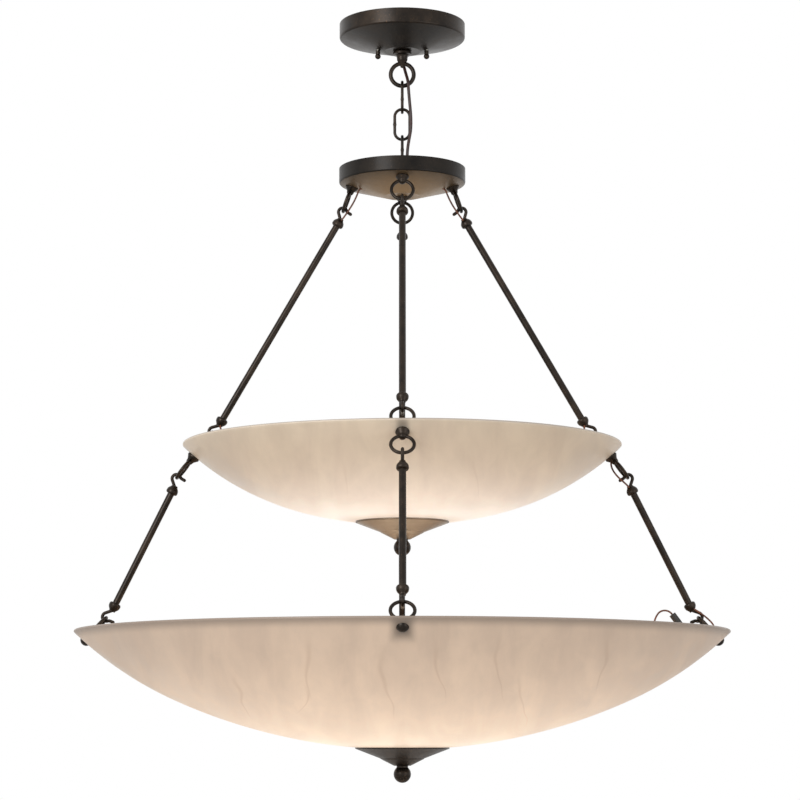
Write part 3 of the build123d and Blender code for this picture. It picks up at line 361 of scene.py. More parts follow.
# %% Supply cord in five lengths
cord_diameter = 4.4
cord_sides = 20
supply_route = [
    (0.0, 0.0, -20.0),
    (0.0, 0.0, -43.0),
    (1.5, 9.0, -55.0),
    (5.0, 5.0, -70.0),
    (8.0, -4.0, -82.0),
    (8.5, -6.0, -90.0),
    (10.5, -6.0, -115.0),
    (12.5, -5.5, -135.0),
    (12.5, -5.5, -155.0),
    (10.0, -6.0, -168.0),
    (7.5, -7.0, -184.0),
    (7.0, -7.4, -198.0),
    (7.0, -7.4, -227.0),
    (9.0, -13.0, -242.0),
]
swing_heights = [joint["pos_m"][2] / MM for joint in frame["joints"]]
cord_line = line_points(smooth_line("supply_line", supply_route, resolution=10)) / MM
cord_cuts = [(above + below) / 2 for above, below in zip(swing_heights, swing_heights[1:])]
cord_marks = [int(np.argmin(np.abs(cord_line[:, 2] - cut))) for cut in cord_cuts]
cord_marks = [0, *cord_marks, len(cord_line) - 1]
cord_points, _ = wire_along(cord_line, cord_diameter / 2, sides=cord_sides)
cord_rings = cord_points.reshape(len(cord_line), cord_sides, 3)
for number, (first, last) in enumerate(zip(cord_marks, cord_marks[1:])):
    rings = cord_rings[first : last + 1]
    middle_first = np.repeat(rings[:1].mean(axis=1, keepdims=True), cord_sides, axis=1)
    middle_last = np.repeat(rings[-1:].mean(axis=1, keepdims=True), cord_sides, axis=1)
    shape = joined_grid(np.vstack([middle_first, rings, middle_last]))
    name = f"supply_jacket_{number + 1}"
    piece = make_piece(name, [shape], None, ["supply_cord"], "cord_jacket", sharp=60)
    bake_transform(piece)
print("supply cord", round(line_length(cord_line), 1), "mm long in", len(cord_cuts) + 1, "lengths")

# %% [markdown]
# ## The glass bowls
#
# Each bowl is a slumped disc: a wide arc at the bottom runs smoothly into a tighter arc up to the
# rim. Its outline goes up the outside, round the softened rim and back down the inside, and is spun
# about the middle. Hand-slumped glass is never quite true, so a slow wave of a fraction of a
# millimetre runs round the rim. Four small holes take the arms' studs.

# %% Bowl shells
glass_wall = 3.5
bowl_segments = 288
wave_height = 0.45
stem_hole_radius = 5.5
stud_hole_radius = 4.0
bolt_hole_radius = 3.5
arm_angles = (0, 90, 180, 270)


def bowl_outline(rim_radius, rim_height, big_arc, rim_arc, change, hole):
    """Closed outline of a bowl's wall: outer arcs, a half circle at the rim, then the inner arcs."""
    turn = math.radians(change)
    shift = big_arc - rim_arc
    rim_turn = math.asin((rim_radius - shift * math.sin(turn)) / rim_arc)
    rim_middle = (shift * math.sin(turn), rim_height + rim_arc * math.cos(rim_turn))
    big_middle = (0.0, rim_middle[1] + shift * math.cos(turn))
    half = glass_wall / 2
    edge = math.degrees(math.acos((rim_middle[1] + half - rim_height) / (rim_arc - half)))
    first = math.degrees(math.asin(hole / big_arc))
    first_inside = math.degrees(math.asin(hole / (big_arc - glass_wall)))
    outer_big = arc(big_middle, big_arc, first, change, 34)[:-1]
    outer_rim = arc(rim_middle, rim_arc, change, edge, 44)
    inner_big = arc(big_middle, big_arc - glass_wall, first_inside, change, 34)[:-1]
    inner_rim = arc(rim_middle, rim_arc - glass_wall, change, edge, 44)
    lip_middle = arc(rim_middle, rim_arc - half, edge, edge, 1)[0]
    lip = arc(lip_middle, half, edge, edge + 180, 9)[1:-1]
    return np.vstack([outer_big, outer_rim, lip, inner_rim[::-1], inner_big[::-1]])


def slumped(rim_radius, waves):
    """A wave for turned(): a few sines in the angle, growing with the square of radius / rim."""

    def wave(radius, height, angle):
        ripple = sum(np.sin(count * angle + phase) / count for count, phase in waves)
        sag = wave_height * (radius / rim_radius) ** 2 * (1 + ripple)
        return radius - 0.6 * sag, height - sag

    return wave


def drill(middle, direction, radius, length=30.0):
    """A round cutter through a point of the right-hand arm, along a direction in that arm's plane."""
    out = np.array([direction[1], 0.0, -direction[0]])
    up = np.array([direction[0], 0.0, direction[1]])
    half = length / 2
    outline = np.array([(0, -half), (radius, -half), (radius, half), (0, half)], float)
    return placed(turned(outline, 24), (middle[0], 0, middle[1]), out, up)


def cut_holes(piece, cutter):
    """Cut one mesh out of another and keep the result as the piece's own mesh."""
    modifier = piece.modifiers.new("holes", "BOOLEAN")
    modifier.operation, modifier.solver, modifier.object = "DIFFERENCE", "EXACT", cutter
    bpy.context.view_layer.update()
    finished = piece.evaluated_get(bpy.context.evaluated_depsgraph_get())
    cut = bpy.data.meshes.new_from_object(finished)
    piece.modifiers.clear()
    piece.data = cut
    bpy.data.objects.remove(cutter)
    print(piece.name, "has", len(cut.polygons), "faces once drilled")


def glass_bowl(name, node, shape, arm_hole_at, drill_radius, waves):
    """Spin a bowl's outline, drill it for the arms and let it stand for its node."""
    outline = bowl_outline(*shape, stem_hole_radius)
    shell = turned(outline, bowl_segments, closed=True, wave=slumped(shape[0], waves))
    piece = make_piece(name, [shell], "hanging_light", [node], "bowl_glass", sharp=50)
    turn = math.radians(arm_hole_at[2])
    one = drill(arm_hole_at[:2], (math.sin(turn), -math.cos(turn)), drill_radius)
    cutter = make_piece(name + "_drill", spun_copies(one, arm_angles), None)
    cut_holes(piece, cutter)
    return piece


def arm_hole(shape, drop):
    """Middle of an arm hole, this far along the glass from the rim: radius, height and angle."""
    rim_radius, rim_height, big_arc, rim_arc, change = shape
    shift = (big_arc - rim_arc) * math.sin(math.radians(change))
    rim_turn = math.asin((rim_radius - shift) / rim_arc)
    turn = rim_turn - drop / rim_arc
    height = rim_height + rim_arc * (math.cos(rim_turn) - math.cos(turn))
    return shift + rim_arc * math.sin(turn), height, math.degrees(turn)


# Rim radius, rim height, the bottom arc's radius, the rim arc's radius, and the angle where they meet.
upper_shape = (310.8, -607.6, 570.0, 389.0, 13.8)
lower_shape = (457.2, -869.3, 770.0, 500.0, 24.2)
upper_hole = arm_hole(upper_shape, 24.4)
lower_hole = arm_hole(lower_shape, 20.7)
upper_waves = ((2, 0.4), (3, 1.9), (5, 4.0))
lower_waves = ((2, 2.2), (3, 0.3), (7, 1.2))
upper_bowl = glass_bowl(
    "upper_bowl_glass", "upper_bowl", upper_shape, upper_hole, stud_hole_radius, upper_waves
)
lower_bowl = glass_bowl(
    "lower_bowl_glass", "lower_bowl", lower_shape, lower_hole, bolt_hole_radius, lower_waves
)
print("arm holes at", [round(v, 2) for v in (*upper_hole, *lower_hole)])

# %% [markdown]
# ## Chain links
#
# A welded link is a bent wire with a small swelling where its ends were joined, usually half way
# down one side. The line of the wire is two half circles joined by straight sides, and the circle
# carried along it grows a little at the weld.

# %% Chain
link_wire = 4.2
link_width = 25.6
link_length = 48.5
link_half_width = (link_width - link_wire) / 2
link_reach = link_length - link_wire
weld_swell = 0.22
weld_reach = 2.1


def link_line(top, facing, steps=44):
    """Middle of a link's wire: half circles above and below with straight sides between them."""
    turn = np.linspace(0, math.pi, steps)
    side = np.linspace(0, 1, 26)[1:-1]
    upper_middle = top - link_half_width
    lower_middle = top - link_reach + link_half_width
    across = np.concatenate(
        [
            link_half_width * np.cos(turn),
            -np.full(len(side), link_half_width),
            -link_half_width * np.cos(turn),
            np.full(len(side), link_half_width),
        ]
    )
    height = np.concatenate(
        [
            upper_middle + link_half_width * np.sin(turn),
            upper_middle + (lower_middle - upper_middle) * side,
            lower_middle - link_half_width * np.sin(turn),
            lower_middle + (upper_middle - lower_middle) * side,
        ]
    )
    return np.stack([across * facing[0], across * facing[1], height], axis=-1)


def weld_width(line, wire, middle_height, side):
    """Wire radius along a link: it swells by a bell curve of the distance from the weld."""
    other_side = line[:, :2].sum(axis=1) * side < 0
    from_weld = np.abs(line[:, 2] - middle_height) + link_length * 2 * other_side
    ripple = 1 + 0.12 * np.cos(from_weld * 2.6)
    return wire / 2 * (1 + weld_swell * np.exp(-((from_weld / weld_reach) ** 2)) * ripple)


for number, (body, facing, side) in enumerate(
    (("link_1", (0, 1), 1), ("link_2", (1, 0), -1), ("link_3", (0, 1), -1)), start=1
):
    top = swing_heights[number]
    line = link_line(top, facing)
    widths = weld_width(line, link_wire, top - link_reach / 2, side)
    make_piece(
        f"welded_link_{number}",
        [wire_along(line, widths, sides=28, closed=True)],
        body,
        [f"chain_link_{number}"],
        "bronze",
        sharp=80,
    )

# %% [markdown]
# ## Lampholders
#
# Every lamp screws into a black moulded holder. The outer end of such a holder has a coarse thread
# for a shade ring, which runs round it as a helix: the radius at height h and angle a drops by a
# wave of (2 pi h / pitch - a), so the groove climbs by one pitch in each turn.

# %% Lampholders
holder_radius = 16.5
holder_band_radius = 15.9
globe_reach = 71.0
thread_pitch = 3.2
thread_depth = 0.9
lamp_sets = {
    "upper": {"lamps": 4, "first": 45.0, "flat": 23.0, "height": -670.02, "bottom": -719.5},
    "lower": {"lamps": 6, "first": 30.0, "flat": 31.0, "height": -983.08, "bottom": -1032.6},
}


def holder_thread(radius, height, angle):
    """A helical groove in the outside wall, fading in and out along the holder."""
    runs_in = np.clip((height - 14.5) / 2.0, 0, 1)
    runs_out = np.clip((28.3 - height) / 1.2, 0, 1)
    outside = radius > holder_radius - 0.5
    groove = 0.5 + 0.5 * np.cos(2 * math.pi * height / thread_pitch - angle)
    return radius - thread_depth * runs_in * runs_out * outside * groove**1.5, height + 0 * angle


barrel = np.column_stack([np.full(70, holder_radius), np.linspace(1.4, 28.8, 70)])
barrel[(barrel[:, 1] > 8.0) & (barrel[:, 1] < 10.0), 0] = holder_band_radius
holder_outline = np.vstack(
    [
        [(0, -7.0), (5.0, -7.0), (5.0, 0.02), (15.3, 0.02), (16.2, 0.4)],
        barrel,
        [(16.3, 29.6), (15.6, 30.0), (14.0, 30.0), (13.5, 29.5), (13.5, 6.0), (0, 6.0)],
    ]
)
holder = turned(holder_outline, 72, wave=holder_thread)
for tier, lamp in lamp_sets.items():
    standing = placed(holder, (lamp["flat"], 0, lamp["height"]), (0, 0, -1), (1, 0, 0))
    angles = lamp["first"] + 360 / lamp["lamps"] * np.arange(lamp["lamps"])
    make_piece(
        f"{tier}_lampholders",
        spun_copies(standing, angles),
        "hanging_light",
        [f"{tier}_sockets"],
        "socket_plastic",
        sharp=50,
    )

# %% [markdown]
# ## Building blocks for finishes
#
# A material is a small network of nodes. Three short helpers keep it readable: one adds a node and
# wires its inputs, one does sums, and one starts a group that several finishes share. Patterns read
# Object coordinates, which are millimetres-true here because every piece sits at the origin.

# %% Node helpers
def put(tree, kind, inputs=(), out=0, **settings):
    """Add one node. Inputs are values or sockets, by order or by name; settings are its own switches."""
    node = tree.nodes.new("ShaderNode" + kind)
    for key, value in settings.items():
        setattr(node, key, value)
    for key, value in inputs.items() if isinstance(inputs, dict) else enumerate(inputs):
        if isinstance(value, bpy.types.NodeSocket):
            tree.links.new(value, node.inputs[key])
        elif value is not None:
            node.inputs[key].default_value = value
    return node.outputs[out]


def calc(tree, operation, *values):
    """One sum of a Math node."""
    return put(tree, "Math", values, operation=operation)


def noise(tree, place, scale, detail=3.0, roughness=0.55, stretch=None, warp=0.0):
    """Smooth noise from 0 to 1; scale is in lumps per metre, stretch squeezes it along each axis."""
    if stretch is not None:
        place = put(tree, "VectorMath", (place, stretch), operation="MULTIPLY")
    values = {"Vector": place, "Scale": scale, "Detail": detail, "Roughness": roughness, "Distortion": warp}
    return put(tree, "TexNoise", values)


def fade(tree, value, low, high, first=0.0, last=1.0):
    """Go smoothly from first to last as value goes from low to high."""
    return put(tree, "MapRange", (value, low, high, first, last), interpolation_type="SMOOTHSTEP")


def mixed(tree, amount, first, last, mode="MIX"):
    """Mix two colours."""
    values = {0: amount, 6: first, 7: last}
    return put(tree, "Mix", values, out=2, data_type="RGBA", blend_type=mode)


def from_axis(tree, place):
    """Distance from the light's own axis."""
    flat_place = put(tree, "VectorMath", (place, (1, 1, 0)), operation="MULTIPLY")
    return put(tree, "VectorMath", (flat_place,), out=1, operation="LENGTH")


def facing_up(tree):
    """How far a face looks up: the height of its normal, 1 for straight up and -1 for straight down."""
    return put(tree, "SeparateXYZ", (put(tree, "NewGeometry", out=1),), out=2)


def rgb(red, green, blue):
    """A colour as a screen shows it, 0 to 255, in the linear numbers that nodes use."""
    c = np.array([red, green, blue]) / 255
    return (*np.where(c <= 0.04045, c / 12.92, ((c + 0.055) / 1.055) ** 2.4).tolist(), 1.0)


def start_group(name, inputs, outputs):
    """Start a shared node group. inputs give defaults by name, outputs give a socket kind by name."""
    tree = bpy.data.node_groups.new(name, "ShaderNodeTree")
    for label, value in inputs.items():
        kind = "Vector" if value is None else "Color" if isinstance(value, tuple) else "Float"
        socket = tree.interface.new_socket(label, in_out="INPUT", socket_type="NodeSocket" + kind)
        if value is not None:
            socket.default_value = value
    for label, kind in outputs.items():
        tree.interface.new_socket(label, in_out="OUTPUT", socket_type="NodeSocket" + kind)
    return tree, tree.nodes.new("NodeGroupInput").outputs, tree.nodes.new("NodeGroupOutput").inputs


def use_group(tree, group, values):
    """Place a shared group in a material with its own values."""
    node = tree.nodes.new("ShaderNodeGroup")
    node.node_tree = group
    for key, value in values.items():
        if isinstance(value, bpy.types.NodeSocket):
            tree.links.new(value, node.inputs[key])
        else:
            node.inputs[key].default_value = value
    return node.outputs


def start_finish(name):
    """Start a material: its node tree, its Principled BSDF and the Object coordinates."""
    material = bpy.data.materials.new(name)
    material.use_nodes = True
    tree = material.node_tree
    shader = tree.nodes["Principled BSDF"]
    return material, tree, shader, put(tree, "TexCoord", out=3)


def connect(tree, shader, **sockets):
    """Link or set the shader's sockets; underscores stand for spaces."""
    for key, value in sockets.items():
        socket = shader.inputs[key.replace("_", " ")]
        if isinstance(value, bpy.types.NodeSocket):
            tree.links.new(value, socket)
        else:
            socket.default_value = value


# %% Shared effects
def brushed_patina_group():
    """Uneven rubbed finish: broad tone, fine specks and a bump of orange-peel grain."""
    tree, get, give = start_group(
        "rubbed_patina",
        {"Vector": None, "Grain": 900.0, "Depth": 0.3},
        {"Tone": "Float", "Speck": "Float", "Normal": "Vector"},
    )
    broad = noise(tree, get["Vector"], 14.0, detail=4.0)
    cloudy = noise(tree, get["Vector"], 70.0, detail=5.0, roughness=0.6)
    tone = calc(tree, "ADD", calc(tree, "MULTIPLY", broad, 0.6), calc(tree, "MULTIPLY", cloudy, 0.4))
    tree.links.new(fade(tree, tone, 0.36, 0.64), give["Tone"])
    specks = noise(tree, get["Vector"], 420.0, detail=2.0, roughness=0.7)
    tree.links.new(fade(tree, specks, 0.62, 0.74), give["Speck"])
    grain = noise(tree, get["Vector"], get["Grain"], detail=2.0)
    bump = put(tree, "Bump", {"Strength": get["Depth"], "Distance": 0.0002, "Height": grain})
    tree.links.new(bump, give["Normal"])
    return tree


def settled_dust_group():
    """Dust on faces that look up: the height of the normal, broken up by noise."""
    tree, get, give = start_group("settled_dust", {"Vector": None, "Amount": 0.25}, {"Mask": "Float"})
    broken = noise(tree, get["Vector"], 160.0, detail=5.0, roughness=0.65)
    mask = calc(tree, "MULTIPLY", fade(tree, facing_up(tree), 0.55, 0.98), fade(tree, broken, 0.3, 0.75))
    tree.links.new(calc(tree, "MULTIPLY", mask, get["Amount"]), give["Mask"])
    return tree


rubbed_patina = brushed_patina_group()
settled_dust = settled_dust_group()
print("shared effects:", [group.name for group in bpy.data.node_groups])

# %% [markdown]
# ## Oil-rubbed bronze
#
# The metal is steel under a dark brown coat that is rubbed by hand, so its tone drifts from nearly
# black to a warm brown, with a few bare specks. It is mostly metallic, so that it mirrors the white
# room softly: dark where it faces the camera and lighter along its sides. The hub's pan is darker on
# its skirt, and the middle of its underside, which looks down into the lit bowl, has a painted warm
# glow standing in for the lamps' light from below.

# %% Bronze
def bronze_finish(name, dark, warm, bare, rough, painted_glow_below=None):
    """Dark and warm brown by broad noise, bare specks on top, dust on what faces up.

    Given a colour for faces that look down, their middle takes a painted glow of that colour, for the
    lamps' light from the bowl below; it fades to warm with the radius.
    """
    material, tree, shader, place = start_finish(name)
    patina = use_group(tree, rubbed_patina, {"Vector": place, "Grain": 1500.0, "Depth": 0.22})
    dust = use_group(tree, settled_dust, {"Vector": place, "Amount": 0.10})
    brown = mixed(tree, patina["Tone"], dark, warm)
    rubbed = mixed(tree, calc(tree, "MULTIPLY", patina["Speck"], 0.35), brown, bare)
    if painted_glow_below is not None:
        # Painted glow: faces that look down take a warm colour in the middle, for the lamps' light from the
        # bowl below.
        under = mixed(tree, fade(tree, from_axis(tree, place), 0.02, 0.13), painted_glow_below, warm)
        rubbed = mixed(tree, fade(tree, facing_up(tree), -0.9, -0.75, 1.0, 0.0), rubbed, under)
    connect(
        tree,
        shader,
        Base_Color=mixed(tree, dust["Mask"], rubbed, rgb(150, 140, 125)),
        Roughness=calc(tree, "ADD", fade(tree, patina["Tone"], 0, 1, rough, rough + 0.1), dust["Mask"]),
        Metallic=0.85,
        Normal=patina["Normal"],
        Specular_IOR_Level=0.5,
        Coat_Weight=0.12,
        Coat_Roughness=0.25,
    )
    return material


bronze = bronze_finish("rubbed_bronze", rgb(28, 23, 19), rgb(50, 41, 33), rgb(112, 84, 58), 0.34)
hub_bronze = bronze_finish(
    "hub_bronze", rgb(14, 12, 11), rgb(32, 27, 22), rgb(80, 62, 46), 0.4, painted_glow_below=rgb(150, 124, 92)
)

# %% [markdown]
# ## Champagne plate
#
# The plate under the upper bowl is a lighter, spun metal with a dark edge. A lathe leaves rings on
# it, so its bump is a noise of the distance from the middle, and the same rings change the
# roughness a little.

# %% Champagne
def champagne_finish():
    """Spun rings: noise read at (radius, height) around the light's own axis."""
    material, tree, shader, place = start_finish("spun_champagne")
    patina = use_group(tree, rubbed_patina, {"Vector": place, "Grain": 1200.0, "Depth": 0.12})
    radius = from_axis(tree, place)
    ring_place = put(tree, "CombineXYZ", (radius, 0, put(tree, "SeparateXYZ", (place,), out=2)))
    rings = noise(tree, ring_place, 900.0, detail=3.0, roughness=0.7)
    colour = mixed(tree, patina["Tone"], rgb(156, 148, 136), rgb(176, 168, 156))
    colour = mixed(tree, fade(tree, radius, 0.0628, 0.0642, 0.0, 0.8), colour, rgb(92, 78, 62))
    grain = {"Strength": 0.25, "Distance": 0.0002, "Height": rings, "Normal": patina["Normal"]}
    connect(
        tree,
        shader,
        Base_Color=mixed(tree, fade(tree, rings, 0.4, 0.7, 0.0, 0.35), colour, rgb(150, 130, 110)),
        Roughness=fade(tree, rings, 0.3, 0.7, 0.30, 0.42),
        Metallic=1.0,
        Normal=put(tree, "Bump", grain),
    )
    return material


champagne = champagne_finish()

# %% [markdown]
# ## Bowl glass
#
# The glass is cream art glass, slumped from a streaky sheet: its streaks all run front to back, and
# seen from the front they stand upright. A few thin folds run down them, wide and faint at the top
# and narrow and dark at the bottom. The lamps' light inside is painted into the glass's emission as a
# glow, most where they lie close to it. The painted glow is worked out from the distance to the
# nearest lamp: the angle is folded so that every lamp lands on one, and the light falls with the
# square of the distance. Where a plate or a gasket sits behind the glass, a painted shadow darkens the
# glass's colour in a soft grey square, and a painted shadow of the middle fittings darkens the glow.

# %% Slumped glass
def sheet_streaks_group():
    """Noise squeezed along y and z, so that it runs upright on the front: streaks, clouds, a wander."""
    tree, get, give = start_group(
        "sheet_streaks", {"Vector": None}, {"Streak": "Float", "Cloud": "Float", "Wander": "Float"}
    )
    place = get["Vector"]
    streak = noise(tree, place, 22.0, detail=5.0, stretch=(1.0, 0.16, 0.2), warp=0.45)
    tree.links.new(fade(tree, streak, 0.32, 0.68), give["Streak"])
    cloud = noise(tree, place, 30.0, detail=5.0, roughness=0.6, stretch=(1.0, 0.4, 0.5), warp=0.4)
    tree.links.new(fade(tree, cloud, 0.3, 0.7), give["Cloud"])
    wander = noise(tree, place, 16.0, detail=1.0, stretch=(0.6, 0.4, 1.0))
    tree.links.new(wander, give["Wander"])
    return tree


def glass_fold_group():
    """One fold: how far x is from a line that leans with the square of the way down, against its width.

    Along, Height and Wander are the point's own x, z and noise. Across and Top say where the fold
    starts, Lean how far it moves aside, and its Width narrows over its Length.
    """
    inputs = {"Along": 0.0, "Height": 0.0, "Wander": 0.5}
    inputs |= {"Across": 0.0, "Lean": 0.01, "Top": -0.9, "Length": 0.06, "Width": 0.006}
    tree, get, give = start_group("glass_fold", inputs, {"Mask": "Float"})
    down = calc(tree, "DIVIDE", calc(tree, "SUBTRACT", get["Top"], get["Height"]), get["Length"])
    bend = calc(tree, "MULTIPLY", calc(tree, "MULTIPLY", down, down), get["Lean"])
    sway = calc(tree, "MULTIPLY", calc(tree, "SUBTRACT", get["Wander"], 0.5), 0.03)
    line = calc(tree, "ADD", get["Across"], calc(tree, "ADD", bend, sway))
    aside = calc(tree, "ABSOLUTE", calc(tree, "SUBTRACT", get["Along"], line))
    width = calc(tree, "MULTIPLY", get["Width"], fade(tree, down, 0.0, 0.9, 1.0, 0.22))
    near = fade(tree, calc(tree, "DIVIDE", aside, width), 0.0, 1.0, 1.0, 0.0)
    start, end = fade(tree, down, -0.1, 0.45), fade(tree, down, 0.85, 1.05, 1.0, 0.0)
    ends = calc(tree, "MULTIPLY", start, end)
    tree.links.new(calc(tree, "MULTIPLY", near, ends), give["Mask"])
    return tree


def lamp_glow_group():
    """Painted light from a ring of lamps: 1 / (1 + (d / reach)^2), with d the distance to the nearest one.
    """
    tree, get, give = start_group(
        "lamp_glow",
        {"Vector": None, "Step": 1.0, "First": 0.0, "Circle": 0.1, "Height": -1.0, "Reach": 0.1},
        {"Glow": "Float"},
    )
    x, y, z = (put(tree, "SeparateXYZ", (get["Vector"],), out=i) for i in range(3))
    angle = calc(tree, "SUBTRACT", calc(tree, "ARCTAN2", y, x), get["First"])
    half = calc(tree, "MULTIPLY", get["Step"], 0.5)
    folded = put(tree, "Math", (angle, half, calc(tree, "MULTIPLY", half, -1.0)), operation="WRAP")
    radius = from_axis(tree, get["Vector"])
    outward = calc(tree, "MULTIPLY", radius, calc(tree, "COSINE", folded))
    along = calc(tree, "SUBTRACT", outward, get["Circle"])
    aside = calc(tree, "MULTIPLY", radius, calc(tree, "SINE", folded))
    to_lamp = put(tree, "CombineXYZ", (along, aside, calc(tree, "SUBTRACT", z, get["Height"])))
    distance = put(tree, "VectorMath", (to_lamp,), out=1, operation="LENGTH")
    share = calc(tree, "POWER", calc(tree, "DIVIDE", distance, get["Reach"]), 2.0)
    tree.links.new(calc(tree, "DIVIDE", 1.0, calc(tree, "ADD", share, 1.0)), give["Glow"])
    return tree


def fitting_shade_group():
    """A painted shadow: a soft square by every arm, where a plate or gasket blocks the lamps' light. The
    angle is folded four ways and the larger distance counts.
    """
    inputs = {"Vector": None, "Height": -0.9, "Half": 0.02, "Soft": 0.006}
    tree, get, give = start_group("fitting_shade", inputs, {"Mask": "Float"})
    x, y, z = (put(tree, "SeparateXYZ", (get["Vector"],), out=i) for i in range(3))
    quarter = math.pi / 4
    folded = put(tree, "Math", (calc(tree, "ARCTAN2", y, x), quarter, -quarter), operation="WRAP")
    radius = from_axis(tree, get["Vector"])
    aside = calc(tree, "ABSOLUTE", calc(tree, "MULTIPLY", radius, calc(tree, "SINE", folded)))
    rise = calc(tree, "ABSOLUTE", calc(tree, "SUBTRACT", z, get["Height"]))
    farthest = put(tree, "Math", (aside, rise, 0.008), operation="SMOOTH_MAX")
    inside = calc(tree, "DIVIDE", calc(tree, "SUBTRACT", farthest, get["Half"]), get["Soft"])
    tree.links.new(fade(tree, inside, -1.0, 1.0, 1.0, 0.0), give["Mask"])
    return tree


sheet_streaks = sheet_streaks_group()
glass_fold = glass_fold_group()
lamp_glow = lamp_glow_group()
fitting_shade = fitting_shade_group()


fold_sizes = ("Across", "Lean", "Top", "Length", "Width")
black = (0.0, 0.0, 0.0, 1.0)


def folded_glass(tree, place, wander, folds):
    """The strongest of several folds. The sign of y gives the back half the same, turned half round."""
    x, y, z = (put(tree, "SeparateXYZ", (place,), out=i) for i in range(3))
    along = calc(tree, "MULTIPLY", x, calc(tree, "MULTIPLY", calc(tree, "SIGN", y), -1.0))
    mask = 0.0
    for fold in folds:
        values = {"Along": along, "Height": z, "Wander": wander}
        values |= {key: size * MM for key, size in zip(fold_sizes, fold)}
        mask = calc(tree, "MAXIMUM", mask, use_group(tree, glass_fold, values)["Mask"])
    return mask


def glass_colour(tree, place, sheet, shape, hole, tones, folds, band, painted_shadow):
    """The glass's base colour: body and streak, clouds, folds, a darker rim, and painted shadows by the
    arms.
    """
    height = put(tree, "SeparateXYZ", (place,), out=2)
    colour = mixed(tree, calc(tree, "MULTIPLY", sheet["Streak"], 0.85), tones["body"], tones["streak"])
    unevenness = calc(tree, "MULTIPLY", calc(tree, "SUBTRACT", sheet["Cloud"], 0.5), 0.09)
    cloudy = {0: colour, "Scale": calc(tree, "ADD", 1.0, unevenness)}
    colour = put(tree, "VectorMath", cloudy, operation="SCALE")
    mask = calc(tree, "MULTIPLY", folded_glass(tree, place, sheet["Wander"], folds), 0.24)
    colour = mixed(tree, mask, colour, tones["fold"])
    rim_height = shape[1]
    by_rim = fade(tree, height, (rim_height - band) * MM, (rim_height - 1) * MM)
    colour = mixed(tree, by_rim, colour, tones["rim"])
    # Painted shadow: a soft grey square by each arm, where the plate or gasket behind the glass blocks the
    # lamps' light.
    square = {"Vector": place, "Height": (hole[1] + painted_shadow["up"]) * MM}
    square |= {"Half": painted_shadow["half"] * MM, "Soft": painted_shadow["soft"] * MM}
    painted_shadow_mask = use_group(tree, fitting_shade, square)["Mask"]
    return mixed(tree, calc(tree, "MULTIPLY", painted_shadow_mask, painted_shadow["strength"]), colour, rgb(78, 70, 64))


def painted_glass_glow(tree, place, colour, lamp, shape, light):
    """Painted glow of the lamps inside, in the glass's emission: it rises towards the bottom and by each
    lamp, and a painted shadow of the plate and cluster darkens it in the middle of the bottom.

    Both parts are shares of the glass's colour: low * depth^steep, and near * the lamps' glow, where
    depth goes from 0 at the rim to 1 at the bottom.
    """
    ring = {"Vector": place, "Reach": light["reach"]}
    ring |= {"Step": 2 * math.pi / lamp["lamps"], "First": math.radians(lamp["first"])}
    ring |= {"Circle": (lamp["flat"] + globe_reach) * MM, "Height": lamp["height"] * MM}
    glow = use_group(tree, lamp_glow, ring)["Glow"]
    height = put(tree, "SeparateXYZ", (place,), out=2)
    depth = put(tree, "MapRange", (height, shape[1] * MM, lamp["bottom"] * MM, 0.0, 1.0))
    lit = mixed(tree, calc(tree, "POWER", depth, light["steep"]), black, light["low"])
    lit = mixed(tree, 1.0, lit, mixed(tree, glow, black, light["near"]), mode="ADD")
    lit = mixed(tree, 1.0, lit, colour, mode="MULTIPLY")
    # Painted shadow of the plate and cluster: the glow darkens towards the middle of the bottom.
    painted_plate_shadow = fade(tree, from_axis(tree, place), 0.06, 0.1, 0.55, 1.0)
    return put(tree, "VectorMath", {0: lit, "Scale": painted_plate_shadow}, operation="SCALE")


def bowl_glass(name, lamp, shape, hole, tones, light, folds, band, painted_shadow):
    """Cream glass of one bowl: its colour with painted shadows, its painted glow, and a faint ripple all
    over.

    tones are colours; light says how the painted glow of the lamps lights the glass; folds are rows of
    fold_sizes in mm;
    band is the height of the darker rim; the last argument gives the painted shadow square by each arm.
    """
    material, tree, shader, place = start_finish(name)
    sheet = use_group(tree, sheet_streaks, {"Vector": place})
    colour = glass_colour(tree, place, sheet, shape, hole, tones, folds, band, painted_shadow)
    ripple = {"Strength": 0.06, "Distance": 0.0006, "Height": noise(tree, place, 60.0, detail=4.0)}
    # The emission carries the painted glow of the lamps inside.
    connect(
        tree,
        shader,
        Base_Color=colour,
        Roughness=fade(tree, sheet["Cloud"], 0, 1, 0.34, 0.46),
        Emission_Color=painted_glass_glow(tree, place, colour, lamp, shape, light),
        Emission_Strength=1.0,
        IOR=1.5,
        Normal=put(tree, "Bump", ripple),
    )
    return material


# %% The two bowls' glass
upper_tones = {
    "body": rgb(213, 199, 179),
    "streak": rgb(203, 188, 170),
    "fold": rgb(186, 168, 150),
    "rim": rgb(170, 158, 146),
}
upper_painted_glow = {"low": (0.88, 1.0, 1.22, 1.0), "steep": 2.4, "near": (0.25, 0.45, 0.60, 1.0), "reach": 0.030}
upper_painted_shadow = {"half": 7.0, "soft": 5.0, "strength": 0.6, "up": 7.0}
upper_folds = ((-80, 8, -655, 40, 6), (95, 10, -650, 45, 5))
lower_tones = {
    "body": rgb(206, 183, 162),
    "streak": rgb(194, 172, 153),
    "fold": rgb(160, 128, 104),
    "rim": rgb(144, 128, 115),
}
lower_painted_glow = {"low": (1.0, 1.0, 0.97, 1.0), "steep": 1.7, "near": (0.25, 0.50, 0.65, 1.0), "reach": 0.036}
lower_painted_shadow = {"half": 11.0, "soft": 9.0, "strength": 0.85, "up": -1.0}
